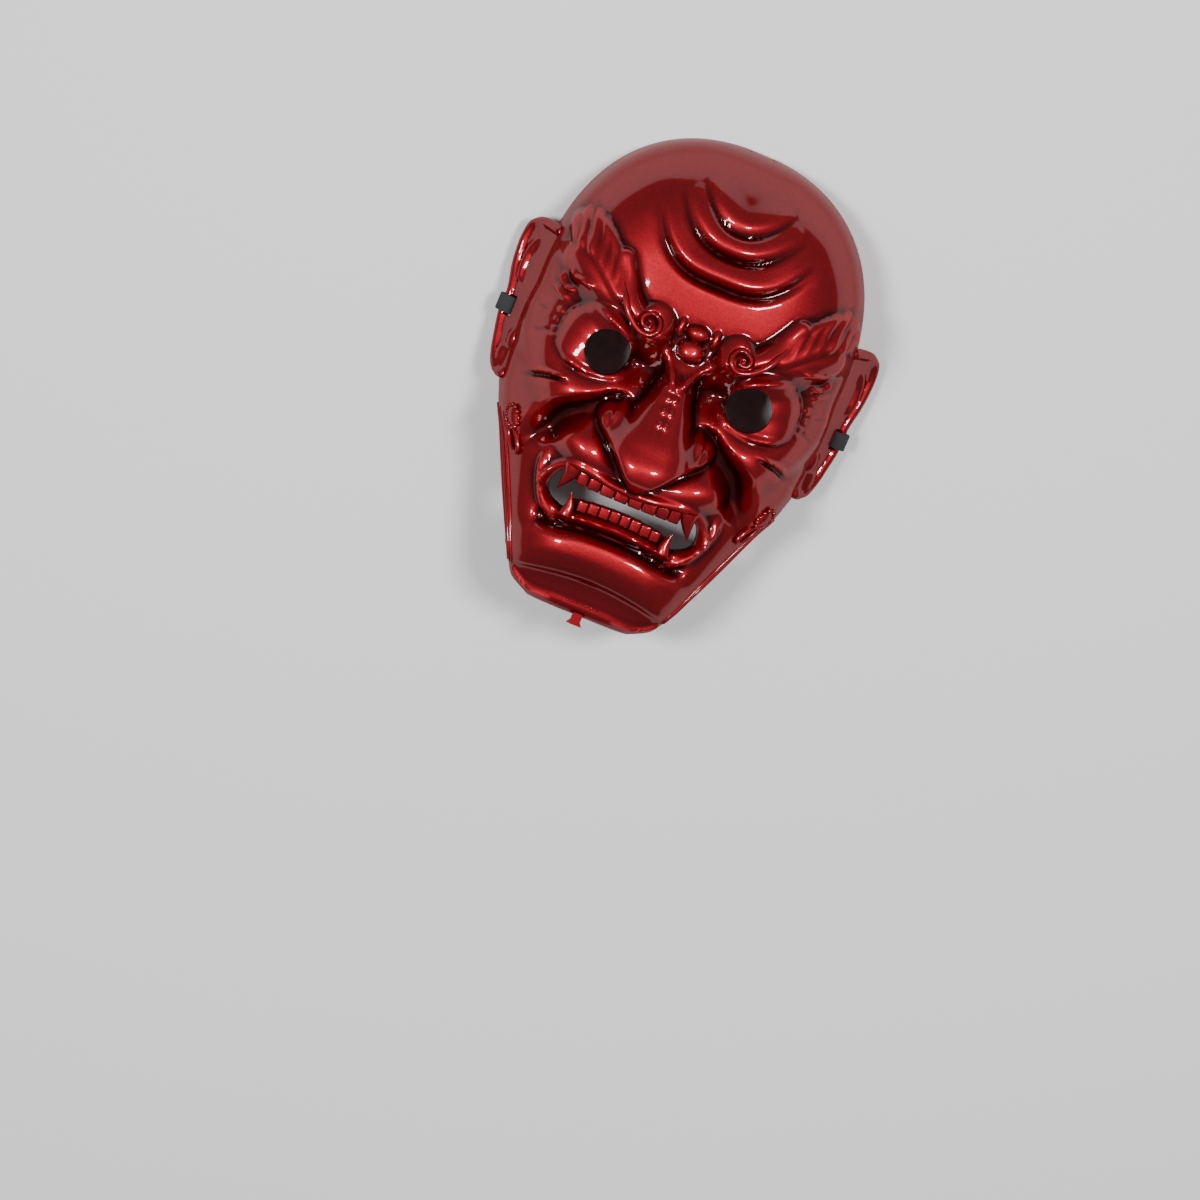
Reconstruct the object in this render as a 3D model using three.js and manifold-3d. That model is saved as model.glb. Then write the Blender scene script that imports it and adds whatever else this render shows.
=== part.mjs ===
// An oni face mask of moulded plastic with an elastic head strap, lying on its back with the face up.
// Millimetres. +X runs to the viewer's right, +Y up the face and +Z out of it. The table is z = 0.
// The face is symmetrical, so its carving is drawn for x > 0 and mirrored.
import * as THREE from "three";
import { mergeVertices } from "three/addons/utils/BufferGeometryUtils.js";
import Module from "manifold-3d";

const wasm = await Module();
wasm.setup();

// Driving dimensions of the shell
const FACE_WIDTH = 154; // across the rim, without the ears
const FACE_HEIGHT = 227; // from the chin's bottom edge to the top rim
const FACE_DEPTH = 72; // from the back rim to the bare face, without the nose
const WALL = 2.6;
const RIM_LAND = 1.5; // straight stretch of the wall above the back rim
const EYE_HOLE_RADIUS = 10.7;
const NOSE_RISE = 27; // nose tip above the bare face
const EYE_BULGE = 11; // eyeball above its socket
const MOUTH_RECESS = 4.8; // gums behind the lips

// Rails, posts and teeth that stand on the shell
const JAW_RAIL_RADIUS = 1.6;
const CHIN_LIP_RADIUS = 1.9;
const TOOTH_RISE = 2.4;
const TOOTH_GAP = 0.5;
const KNOB_RISE = 4.6;
const FOLD_DEPTH = 3.6; // the lowest fold of the forehead
const CURL_RISE = 4.6;
const POST_THICKNESS = 3.4;
const ROSETTE_RADIUS = 5.2;
const ROSETTE_HEIGHT = 2.6;
const RING_RADIUS = 4.2;
const RING_WIRE = 1.1;

// Ears
const EAR_FLARE = THREE.MathUtils.degToRad(38); // how far the ear stands off the side of the head
const EAR_PLATE = 2.6;
const HELIX_RADIUS = 2.5;
const HELIX_LIFT = 0.6; // the helix's middle line outside the ear plate's
const ANTIHELIX_RADIUS = 1.7;

// Head strap
const STRAP_WIDTH = 8;
const STRAP_THICKNESS = 1.2;
const STRAP_CLEARANCE = 1.2; // free play beside the strap in its slot
const LOOP_CLEARANCE = 0.9; // between the strap and the ear's edge that it is folded round
const SLOT_DEPTH = 4.4; // the slot's short side
const TOUCH_GAP = 0.3; // between two pieces of the strap that meet
const REST_GAP = 0.1; // between the strap and the table

// How finely the surfaces are cut into faces
const COLUMNS = 30;
const ROWS = 40;
const INNER_COLUMNS = 14;
const INNER_ROWS = 20;

// The carving is drawn on a face of this size and stretched to the size wanted.
const DRAWN = { width: 154, height: 227, depth: 72 };
const DRAWN_TOP = 106;
const DRAWN_CHIN = DRAWN_TOP - DRAWN.height;
const STRETCH = new THREE.Vector3(
  FACE_WIDTH / DRAWN.width,
  FACE_HEIGHT / DRAWN.height,
  FACE_DEPTH / DRAWN.depth,
);

const { clamp, smoothstep, lerp, degToRad } = THREE.MathUtils;

// A smooth curve through [place, value] pairs that never overshoots them.
function smoothThrough(pairs) {
  const slopes = pairs
    .slice(1)
    .map(([t, v], i) => (v - pairs[i][1]) / (t - pairs[i][0]));
  const tangents = pairs.map((_, i) => {
    const before = slopes[Math.max(i - 1, 0)];
    const after = slopes[Math.min(i, slopes.length - 1)];
    return before * after <= 0 ? 0 : (2 * before * after) / (before + after);
  });
  return (t) => {
    let i = 0;
    while (i < pairs.length - 2 && t > pairs[i + 1][0]) i++;
    const [[t0, v0], [t1, v1]] = [pairs[i], pairs[i + 1]];
    const span = t1 - t0;
    const s = clamp((t - t0) / span, 0, 1);
    return (
      v0 * (1 + 2 * s) * (1 - s) ** 2 +
      v1 * s * s * (3 - 2 * s) +
      span * s * (1 - s) * (tangents[i] * (1 - s) - tangents[i + 1] * s)
    );
  };
}

// The bare face: half widths of the outline, heights of the middle line and heights of the back rim, by y
const CROWN = { from: 20, half: 77, roundness: 2.3 };
const sidesHalf = smoothThrough([
  [-121, 24.7], [-115, 35.7], [-101, 42.7], [-75, 55.7], [-55.6, 65.4], [-44, 71.8], [-32, 75.5],
  [-10, 76.8], [CROWN.from, CROWN.half],
]);
function outlineHalf(y) {
  if (y < CROWN.from) return sidesHalf(y);
  const share = Math.min((y - CROWN.from) / (DRAWN_TOP + 0.2 - CROWN.from), 1);
  return CROWN.half * (1 - share ** CROWN.roundness) ** (1 / CROWN.roundness);
}
const middleHeight = smoothThrough([
  [-121, 58], [-117, 59.5], [-112, 61], [-106, 63.5], [-103, 66], [-100.5, 70.2], [-90, 70.5], [-77, 69],
  [-60, 70], [-40, 71.5], [0, 72], [30, 72], [45, 71], [63, 67.5], [80, 59.5], [92, 48], [100, 35],
  [104, 22], [106, 8],
]);
const jawRise = smoothThrough([
  [-121, 48], [-101, 44], [-90, 39.5], [-75, 30], [-50, 13], [-38, 3], [-28, 0], [106, 0],
]);
const SIDE_ROUNDNESS = 2.8;

// The strap leaves under an arch in the rim beside each ear.
const STRAP_Y = -3;
const ARCH_HEIGHT = 11;
const ARCH_HALF = 17;

// Bumps of height 1 in the middle and 0 at a distance of 1: one soft, one with a flat top
const mound = (d) => (d < 1 ? (1 - d * d) ** 2 : 0);
const cap = (d) => 1 - Math.min(d, 1) ** 2.4;

// The higher of two heights, with the corner between them filled over a width
function blend(a, b, width) {
  const near = Math.max(width - Math.abs(a - b), 0) / width;
  return Math.max(a, b) + (near * near * width) / 4;
}

const rimHeight = (y) => jawRise(y) + ARCH_HEIGHT * mound(Math.abs(y - STRAP_Y) / ARCH_HALF);

// Distance from the middle of a turned ellipse, 1 on its edge
function oval(x, y, [cx, cy], [rx, ry], turnDeg = 0) {
  const turn = degToRad(turnDeg);
  const [dx, dy] = [x - cx, y - cy];
  return Math.hypot(
    (dx * Math.cos(turn) + dy * Math.sin(turn)) / rx,
    (dy * Math.cos(turn) - dx * Math.sin(turn)) / ry,
  );
}

// Points along a smooth line through the given ones
const drawn = (points, steps = 14) =>
  new THREE.SplineCurve(points.map(([x, y]) => new THREE.Vector2(x, y))).getPoints(steps);

// Nearest place on a drawn line: its distance, its share of the way along, and which side (+1 left of it)
function nearest(line, x, y) {
  let best = { far: Infinity, along: 0, side: 1 };
  for (let i = 0; i + 1 < line.length; i++) {
    const [a, b] = [line[i], line[i + 1]];
    const [ex, ey] = [b.x - a.x, b.y - a.y];
    const s = clamp(((x - a.x) * ex + (y - a.y) * ey) / (ex * ex + ey * ey), 0, 1);
    const [dx, dy] = [x - a.x - ex * s, y - a.y - ey * s];
    const far = Math.hypot(dx, dy);
    if (far < best.far)
      best = { far, along: (i + s) / (line.length - 1), side: Math.sign(ex * dy - ey * dx) || 1 };
  }
  return best;
}

// A rounded ridge, or a groove where its height is negative, that tapers out at its ends
function fold(points, height, half, taper = 0.25) {
  const line = drawn(points);
  return (x, y) => {
    const { far, along } = nearest(line, x, y);
    const ends = taper ? smoothstep(Math.min(along, 1 - along), -0.02, taper) : 1;
    return height * mound(far / half) * ends;
  };
}

// A step along a line: high on its left, low on its right, easing back to the face on both sides
function step(points, drop, edge, ease, fade) {
  const line = drawn(points);
  return (x, y) => {
    const { far, along, side } = nearest(line, x, y);
    const ends = smoothstep(Math.min(along, 1 - along), 0, fade);
    return side * drop * 0.5 * smoothstep(far, 0, edge) * Math.exp(-((far / ease) ** 2)) * ends;
  };
}

// The mouth's outline, for x > 0 from the top of the middle to the bottom of the middle
const MOUTH_EDGE = drawn(
  [[0, -57.3], [12, -56.4], [24, -55], [30.5, -56], [34.8, -60], [36.8, -65.5], [35.6, -70.5],
    [31.5, -74], [25.5, -76], [12, -73.6], [0, -72.6]],
  30,
);

// How far inside the mouth's outline a point is
function insideMouth(x, y) {
  const { far, side } = nearest(MOUTH_EDGE, x, y);
  return side < 0 ? far : -far;
}

// Height by y of the nose's ridge and its half width, and the line where its wings and underside end
const noseRidge = smoothThrough([
  [-57, 0], [-54, 0.3], [-49, 0.68], [-44, 0.94], [-39, 1], [-32, 0.94], [-20, 0.68], [-8, 0.42], [2, 0.26],
  [10, 0.1], [16, 0],
]);
const noseHalf = smoothThrough([
  [-56, 12], [-50, 17], [-44, 22], [-36, 25], [-28, 23], [-18, 16], [-6, 11], [6, 9], [16, 9],
]);
const ALAR_LINE = drawn(
  [[30.5, -12], [31.6, -18], [30, -25.5], [24.4, -33.4], [17, -38.8], [10, -45.4], [0, -54], [-10, -45.4]],
);

function nose(x, y) {
  const across = Math.min(x / noseHalf(y), 1);
  const ridge = NOSE_RISE * noseRidge(y) * (1 - across ** 2.2);
  const wing = 0.56 * NOSE_RISE * cap(oval(x, y, [19.6, -27.5], [11.2, 12.2], 15)) ** 0.8;
  const { far, side } = nearest(ALAR_LINE, x, y);
  return blend(ridge, wing, 6) * smoothstep(-side * far, -3, 5);
}

function eye(x, y) {
  const round = Math.min(oval(x, y, [41.5, 3.8], [18.5, 16.5]), 1);
  const socket = 6.5 * mound(oval(x, y, [34, 3], [33, 23], 15));
  const corner = 8.5 * mound(oval(x, y, [16.5, 0], [12.5, 16]));
  return EYE_BULGE * (1 - round * round) - socket - corner;
}

// The chin stands forward between a groove below the lip and a ledge.
function chin(x, y) {
  const down = -y - 0.004 * x * x;
  return 5.5 * smoothstep(down, 79, 85) * (1 - smoothstep(down, 90, 103)) * (1 - smoothstep(x, 20, 48));
}

// The large forms
const browRidge = fold([[8, 14], [22, 13], [38, 20], [54, 31], [69, 41]], 7, 14, 0.15);
function form(x, y) {
  return (
    nose(x, y) + eye(x, y) + chin(x, y) + browRidge(x, y) +
    7 * mound(oval(x, y, [48, -18], [30, 18], 30)) +
    6 * mound(oval(x, y, [0, -57], [50, 27])) +
    7 * mound(oval(x, y, [29, -43], [22, 13], 18)) -
    5.5 * mound(oval(x, y, [42, -38], [26, 9], -52))
  );
}

// Folds of the cheek, the lips, the chin, round the eyes and down the brow
const CREASES = [
  step([[15, -17.5], [20, -15.2], [26, -16.8], [31, -20.5], [38, -25], [45, -30], [50, -37.5], [54, -47],
    [56, -58]], 8, 6, 12, 0.2),
  fold([[43, -52], [42, -60], [39.8, -68], [35.8, -75.5], [30.5, -80.5], [26.5, -83]], 3.4, 5),
  fold([[-30, -77.5], [-14, -76.2], [0, -75.2], [14, -76.2], [30, -77.5]], 3.2, 4.6, 0.1),
  fold([[0, -55.2], [12, -54.4], [24, -52.8], [31.5, -54], [37, -59], [39, -66]], 2.4, 4.2, 0),
  fold([[0, -79.6], [14, -80.2], [26, -82.8], [34, -82]], -5, 5, 0),
  fold([[66, 25], [65, 21], [61, 18.4], [57, 19]], 2.4, 3.6),
  fold([[62, 28], [58, 25.5], [53, 25], [48, 23.5]], 2, 3.4),
  fold([[66, -26], [58, -23], [51, -20.4], [43, -18.8]], -1.8, 3.6),
  fold([[52, -7.6], [46, -9.9], [38, -11.6], [29, -9.8], [22, -5]], 1.8, 4),
  fold([[11, 12.5], [8, 7], [4, 1.5], [0.5, -5]], 3, 4),
];

// Folds across the forehead: U-shaped lines by their lowest y, their reach and rise at the ends
const FOREHEAD_FOLDS = [
  { low: 46.3, reach: 40, rise: 26, bend: 3.2, deep: 1, half: 4.2 },
  { low: 60, reach: 31, rise: 21, bend: 2.4, deep: 0.78, half: 3.4 },
  { low: 71.4, reach: 23, rise: 17, bend: 2, deep: 0.61, half: 2.8 },
].map(({ low, reach, rise, bend, ...size }) => {
  const across = Array.from({ length: 13 }, (_, i) => lerp(-reach, reach, i / 12));
  return { line: drawn(across.map((x) => [x, low + rise * Math.abs(x / reach) ** bend]), 36), ...size };
});

// Each fold is a groove below a swollen roll.
function forehead(x, y) {
  return FOREHEAD_FOLDS.reduce((sum, { line, deep, half }) => {
    const { far, along, side } = nearest(line, x, y);
    const roll = side > 0 ? smoothstep(far, 0, 3) * (1 - smoothstep(far, 4, 15)) : 0;
    const ends = Math.max(Math.sin(Math.PI * along), 0) ** 0.7;
    return sum + ends * deep * FOLD_DEPTH * (0.9 * roll - mound(far / half));
  }, 0);
}

// All the carving of the outside
function carved(x, y) {
  const mouth = -MOUTH_RECESS * smoothstep(insideMouth(x, y), -0.6, 1.6);
  return CREASES.reduce((sum, crease) => sum + crease(x, y), form(x, y) + mouth + forehead(x, y));
}

// A point of the bare face, where across runs from -1 to 1 from rim to rim
function barePoint(across, y) {
  const inY = clamp(y, DRAWN_CHIN, DRAWN_TOP);
  const share = Math.sin((across * Math.PI) / 2);
  const x = share * outlineHalf(inY);
  const land = rimHeight(inY) + RIM_LAND;
  const chinSag = 0.0045 * x * x * smoothstep(-inY, 88, 100);
  const rise = (1 - Math.abs(share) ** SIDE_ROUNDNESS) ** (1 / SIDE_ROUNDNESS);
  const z = land + Math.max(middleHeight(inY + chinSag) - land, 0) * rise;
  return new THREE.Vector3(x, y, z).multiply(STRETCH);
}

function bareNormal(across, y) {
  const [dt, dy] = [0.01, 0.6];
  const [t0, t1] = [Math.max(across - dt, -1), Math.min(across + dt, 1)];
  const [y0, y1] = [Math.max(y - dy, DRAWN_CHIN), Math.min(y + dy, DRAWN_TOP)];
  const along = barePoint(across, y1).sub(barePoint(across, y0));
  return barePoint(t1, y).sub(barePoint(t0, y)).cross(along).normalize();
}

// The outer surface at outward = 0, and below it where outward is negative
function facePoint(across, y, outward = 0, carve = carved) {
  const bare = barePoint(across, y);
  const inY = clamp(y, DRAWN_CHIN + 0.5, DRAWN_TOP - 0.5);
  const x = Math.abs(bare.x / STRETCH.x);
  const edge = smoothstep(1 - Math.abs(across), 0, 0.12);
  return bare.addScaledVector(bareNormal(across, inY), carve(x, inY) * edge + outward);
}

// The same, by drawn x and y
const acrossAt = (x, y) => (Math.asin(clamp(x / outlineHalf(y), -1, 1)) * 2) / Math.PI;
const onFace = (x, y, outward = 0) => facePoint(acrossAt(x, y), y, outward);
const normalAt = (x, y) => bareNormal(acrossAt(x, y), y);

// A closed three.js geometry as a solid, and a solid as a geometry
function solid(geometry) {
  const bare = geometry.clone();
  bare.deleteAttribute("normal");
  bare.deleteAttribute("uv");
  const merged = mergeVertices(bare, 1e-4);
  const mesh = new wasm.Mesh({
    numProp: 3,
    vertProperties: merged.attributes.position.array,
    triVerts: new Uint32Array(merged.index.array),
  });
  return new wasm.Manifold(mesh);
}

function geometryOf(manifold) {
  const { vertProperties, triVerts } = manifold.getMesh();
  const geometry = new THREE.BufferGeometry();
  geometry.setAttribute("position", new THREE.BufferAttribute(vertProperties, 3));
  geometry.setIndex(new THREE.BufferAttribute(triVerts, 1));
  return geometry;
}

// A solid's mirror image across the middle of the face
function mirrored(manifold) {
  const geometry = geometryOf(manifold).scale(-1, 1, 1);
  const corners = geometry.index.array;
  for (let i = 0; i < corners.length; i += 3) [corners[i], corners[i + 1]] = [corners[i + 1], corners[i]];
  return solid(geometry);
}

// Moves every vertex of a geometry by a function of its place.
function reshape(geometry, place) {
  const at = geometry.attributes.position;
  for (let i = 0; i < at.count; i++) {
    const p = place(new THREE.Vector3().fromBufferAttribute(at, i));
    at.setXYZ(i, p.x, p.y, p.z);
  }
  return geometry;
}

// Row places from chin to top, closer together where the face is busier
function rowPlaces(count, low, high) {
  const busy = (y) =>
    1 + 1.2 * smoothstep(y, -86, -74) * (1 - smoothstep(y, 72, 84)) +
    2.2 * smoothstep(y, 86, 106) + 0.8 * mound(Math.abs(y + 106) / 12);
  const steps = 800;
  const sums = [0];
  for (let i = 0; i < steps; i++) sums.push(sums[i] + busy(lerp(low, high, (i + 0.5) / steps)));
  const places = [];
  for (let row = 0, i = 0; row <= count; row++) {
    const want = (sums[steps] * row) / count;
    while (i < steps - 1 && sums[i + 1] < want) i++;
    const within = clamp((want - sums[i]) / (sums[i + 1] - sums[i]), 0, 1);
    places.push(lerp(low, high, (i + within) / steps));
  }
  return places;
}

// Column places from rim to rim for u from -1 to 1, evenly spaced over the middle of the face
function columnPlace(u) {
  const share = lerp(u, Math.sin((u * Math.PI) / 2), u * u);
  return (Math.asin(clamp(share, -1, 1)) * 2) / Math.PI;
}

// The space between a carved surface and a floor that follows the rim. Each cell of the surface is
// split along the diagonal whose middle lies closer to the carving.
function underSurface(columns, rows, low, surface, floor) {
  const places = rowPlaces(rows, low, DRAWN_TOP);
  const block = new THREE.BoxGeometry(2, 1, 1, columns, rows, 1);
  const flat = block.attributes.position.clone();
  const rowOf = (i) => Math.round((flat.getY(i) + 0.5) * rows);
  reshape(block, (p) => {
    const y = places[Math.round((p.y + 0.5) * rows)];
    const top = surface(columnPlace(p.x), y);
    return p.z > 0 ? top : new THREE.Vector3(top.x, top.y, floor(y));
  });
  const corner = (i) => new THREE.Vector3().fromBufferAttribute(block.attributes.position, i);
  const corners = block.index.array;
  for (let i = 0; i < corners.length; i += 6) {
    const [a, b, d, , c] = corners.slice(i, i + 6);
    if (flat.getX(a) === flat.getX(c) || flat.getY(a) === flat.getY(c) || flat.getZ(a) < 0) continue;
    const across = columnPlace((flat.getX(a) + flat.getX(c)) / 2);
    const middle = surface(across, (places[rowOf(a)] + places[rowOf(c)]) / 2);
    const miss = (one, other) => corner(one).lerp(corner(other), 0.5).distanceTo(middle);
    if (miss(a, c) < miss(b, d) - 0.001) corners.set([a, b, c, a, c, d], i);
  }
  return solid(block);
}

function outerBody() {
  return underSurface(COLUMNS, ROWS, DRAWN_CHIN, (across, y) => facePoint(across, y),
    (y) => rimHeight(y) * STRETCH.z);
}

// The lowest carving near a point, so that the wall keeps its thickness beside steep forms
const REACH = 4.6;
const NEARBY = [0, 45, 90, 135, 180, 225, 270, 315].map(degToRad)
  .flatMap((turn) => [0.5, 1].map((share) => [share * REACH * Math.cos(turn), share * REACH * Math.sin(turn)]));
function lowestNear(x, y) {
  return Math.min(carved(x, y), ...NEARBY.map(([dx, dy]) => carved(Math.abs(x + dx), y + dy)));
}

function hollow() {
  const past = 10; // the hollow runs this far out of the back and below the chin
  return underSurface(INNER_COLUMNS, INNER_ROWS, DRAWN_CHIN - past,
    (across, y) => facePoint(across, y, -WALL, lowestNear),
    (y) => rimHeight(Math.max(y, DRAWN_CHIN)) * STRETCH.z - past);
}

// A rod of oval section along a path on the face; each size is a function of the share of the way along
function rod(path, outwardAt, halfWide, halfTall, sides, steps) {
  const points = Array.from({ length: steps + 1 }, (_, i) => path(i / steps));
  const block = new THREE.CylinderGeometry(1, 1, 1, sides, steps);
  return solid(
    reshape(block, (p) => {
      const i = Math.round((p.y + 0.5) * steps);
      const ahead = points[Math.min(i + 1, steps)].clone().sub(points[Math.max(i - 1, 0)]).normalize();
      const up = outwardAt(i / steps);
      const wide = new THREE.Vector3().crossVectors(ahead, up).normalize();
      const tall = new THREE.Vector3().crossVectors(wide, ahead);
      return points[i].clone()
        .addScaledVector(wide, p.x * halfWide(i / steps))
        .addScaledVector(tall, p.z * halfTall(i / steps));
    }),
  );
}

// A rod along a line drawn on the face, lifted off it by a function of the share of the way along
function faceRod(points, lift, halfWide, halfTall, sides = 6, steps = 8) {
  const line = new THREE.SplineCurve(points.map(([x, y]) => new THREE.Vector2(x, y)));
  const at = (s) => line.getPoint(s);
  return rod((s) => onFace(at(s).x, at(s).y, lift(s)), (s) => normalAt(at(s).x, at(s).y),
    halfWide, halfTall, sides, steps);
}

// A geometry that is built about its own origin with +Z up, set on the face
function setOnFace(geometry, x, y, lift = 0, turnDeg = 0) {
  const up = normalAt(x, y);
  const turn = new THREE.Quaternion().setFromUnitVectors(new THREE.Vector3(0, 0, 1), up)
    .multiply(new THREE.Quaternion().setFromAxisAngle(new THREE.Vector3(0, 0, 1), degToRad(turnDeg)));
  const place = new THREE.Matrix4().compose(onFace(x, y, lift), turn, new THREE.Vector3(1, 1, 1));
  return solid(geometry.applyMatrix4(place));
}

const ellipsoid = (rx, ry, rz, fineness) => new THREE.IcosahedronGeometry(1, fineness).scale(rx, ry, rz);
const union = (solids) => solids.reduce((sum, s) => sum.add(s));
const both = (s) => s.add(mirrored(s));

// Brow tufts, each from its top to its tip, and their half widths
const TUFTS = [
  { from: [64, 54.5], by: [65.5, 47], to: [62.4, 39], half: 3.9 },
  { from: [59, 55.5], by: [60.4, 46.5], to: [57.2, 37.4], half: 3.8 },
  { from: [54, 53], by: [55.6, 44], to: [52.4, 34.6], half: 3.7 },
  { from: [49.2, 49.5], by: [50.8, 40.3], to: [47.6, 30.8], half: 3.5 },
  { from: [44.8, 45.5], by: [46, 36.4], to: [43, 27.6], half: 3.3 },
  { from: [40.8, 41.4], by: [41.8, 33.4], to: [39, 25.2], half: 3.1 },
];
const TUFT_RISE = 4.4;

function tuft({ from, by, to, half }) {
  const swell = (s) => Math.max(Math.sin(Math.PI * (0.08 + 0.84 * s)) ** 0.7, 0.1);
  return faceRod([from, by, to], () => 0.4, (s) => half * swell(s), (s) => TUFT_RISE * swell(s), 4, 3);
}

// The curl at the brow's inner end: a disc with a strand that runs onto it and winds inwards
const CURL = { x: 20.2, y: 20.4, radius: 9.9 };
const STRAND = [[42, 42], [38.4, 34.6], [34.4, 27.4], [30.6, 20.6], [25.6, 16.2], [20.4, 15.4], [17.4, 18.8],
  [18.8, 22.8], [22.4, 23.8], [24.6, 21]];

function curl() {
  const narrowing = (s) => lerp(4.4, 1.3, smoothstep(s, 0, 0.5));
  const disc = new THREE.CylinderGeometry(0.75 * CURL.radius, CURL.radius, 1.7 * CURL_RISE, 14)
    .rotateX(Math.PI / 2);
  const strand = faceRod(STRAND, (s) => lerp(0.4, 3.4, smoothstep(s, 0.2, 0.6)), narrowing,
    (s) => lerp(4, 2.4, smoothstep(s, 0, 0.5)), 4, 14);
  return setOnFace(disc, CURL.x, CURL.y, 0.2).add(strand);
}

// Two knobs between the brows
function knobs() {
  const knob = (y, wide, tall) => setOnFace(ellipsoid(wide, tall, KNOB_RISE, 1), 0, y, 0.2 * KNOB_RISE);
  return knob(15, 6.6, 5.4).add(knob(23.2, 5.6, 4.2));
}

// Teeth by the drawn x of their sides, and the fangs outside them
const UPPER_TEETH = {
  sides: [0, 6.8, 13.8, 19.7, 25],
  top: (x) => -56.6 + 0.0032 * x * x,
  bottom: () => -61,
};
const LOWER_TEETH = {
  sides: [0, 5, 10.3, 15.6, 20.2],
  top: (x) => -66.4 - 0.0052 * x * x,
  bottom: (x) => -72 - 0.006 * x * x,
};

function teeth({ sides, top, bottom }) {
  const made = sides.slice(1).map((outer, i) => {
    const middle = (outer + sides[i]) / 2;
    const [high, low] = [top(middle), bottom(middle)];
    const wide = (outer - sides[i]) * STRETCH.x - TOOTH_GAP;
    const tall = (high - low) * STRETCH.y;
    const block = new THREE.BoxGeometry(wide, tall, 2 * TOOTH_RISE);
    return setOnFace(block, middle, (high + low) / 2, 1);
  });
  return both(union(made));
}

function fangs() {
  const narrowing = (base) => (s) => Math.max(base * (1 - s ** 1.6), 0.35);
  const fang = (points, half) => faceRod(points, () => 0.6, narrowing(half), narrowing(half), 5, 4);
  const upper = fang([[28.6, -55], [30, -61], [31.6, -67]], 3.4);
  const lower = fang([[23.6, -76], [23.4, -71.5], [24.4, -66.2]], 2.8);
  return both(upper.add(lower));
}

// What is cut away between the teeth
function mouthOpening() {
  const half = [[25.2, -60.2], [26.2, -57.5], [31, -57.2], [34.2, -60.6], [36, -65.6], [34.9, -70.2],
    [31, -73.2], [25.6, -74.6], [24.4, -70], [20, -68.6], [10, -67.4]];
  const round = [...half, [0, -67], ...half.toReversed().map(([x, y]) => [-x, y])];
  const outline = new THREE.Shape(round.map(([x, y]) => new THREE.Vector2(x * STRETCH.x, y * STRETCH.y)));
  return solid(new THREE.ExtrudeGeometry(outline, { depth: 2 * FACE_DEPTH, bevelEnabled: false }));
}

function eyeHoles() {
  const place = barePoint(acrossAt(35, 0), 0);
  const drill = new THREE.CylinderGeometry(EYE_HOLE_RADIUS, EYE_HOLE_RADIUS, 3 * FACE_DEPTH, 24);
  return both(solid(drill.rotateX(Math.PI / 2).translate(place.x, 0, 0)));
}

// Rails along the jaw's edges and the lip below the chin
function jawRails() {
  const rail = (across, radius, low, high) =>
    rod((s) => facePoint(across, lerp(high, low, s), 0.3), (s) => bareNormal(across, lerp(high, low, s)),
      () => radius, () => radius, 4, 4);
  const rails = rail(0.985, JAW_RAIL_RADIUS, -103, -50).add(rail(0.86, 0.75 * JAW_RAIL_RADIUS, -101, -56));
  const lip = rod((s) => {
    const across = lerp(-1, 1, s);
    return facePoint(across, lerp(DRAWN_CHIN + 1.2, -114, Math.abs(across) ** 5), 0.2);
  }, () => new THREE.Vector3(0, 0, 1), () => CHIN_LIP_RADIUS, () => CHIN_LIP_RADIUS, 5, 10);
  return both(rails).add(lip);
}

// Cord posts: a T-shaped one under the chin and a smaller one on each side of it
function posts() {
  const chin = onFace(0, DRAWN_CHIN + 1.2);
  const post = (stem, head) => {
    const [stemWide, stemLong] = stem;
    const [headWide, headLong] = head;
    const shape = new THREE.Shape([
      [-stemWide, 1.5], [stemWide, 1.5], [stemWide, -stemLong], [headWide, -stemLong - headLong],
      [-headWide, -stemLong - headLong], [-stemWide, -stemLong],
    ].map(([x, y]) => new THREE.Vector2(x, y)));
    return new THREE.ExtrudeGeometry(shape, { depth: POST_THICKNESS, bevelEnabled: false })
      .translate(0, 0, -POST_THICKNESS / 2);
  };
  const middle = solid(post([2.4, 2.4], [3.7, 1.8]).translate(chin.x, chin.y - 0.6, chin.z));
  const side = barePoint(0.97, -100);
  const outward = new THREE.Euler(0, degToRad(-20), degToRad(64));
  const sidePost = post([1.3, 1.6], [2.4, 1.4])
    .applyMatrix4(new THREE.Matrix4().makeRotationFromEuler(outward))
    .translate(side.x, side.y, side.z + 0.6);
  return middle.add(both(solid(sidePost)));
}

// A flower boss with an oval ring below it on each cheek
function rosettes() {
  const [x, y] = [61, -45.5];
  const disc = new THREE.CylinderGeometry(0.7 * ROSETTE_RADIUS, ROSETTE_RADIUS, ROSETTE_HEIGHT, 10);
  const boss = setOnFace(disc.rotateX(Math.PI / 2), x, y, 0.4 * ROSETTE_HEIGHT);
  const wire = new THREE.TorusGeometry(RING_RADIUS, RING_WIRE, 4, 8).scale(0.8, 1.5, 1);
  const ring = setOnFace(wire, 57.8, -55.6, 0.5, -40);
  return both(boss.add(ring));
}

// The ear's own plane: p runs back and out from the side of the head, y up, and n out of the plane
const EAR_ROOT = new THREE.Vector3(73.8, 0, 26).multiply(STRETCH);
const EAR_P = new THREE.Vector3(Math.sin(EAR_FLARE), 0, -Math.cos(EAR_FLARE));
const EAR_N = new THREE.Vector3(Math.cos(EAR_FLARE), 0, Math.sin(EAR_FLARE));
const EAR_FRAME = new THREE.Matrix4().makeBasis(EAR_P, new THREE.Vector3(0, 1, 0), EAR_N).setPosition(EAR_ROOT);
const inEar = (p, y, n) => new THREE.Vector3(p, y * STRETCH.y, n).applyMatrix4(EAR_FRAME);

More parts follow.
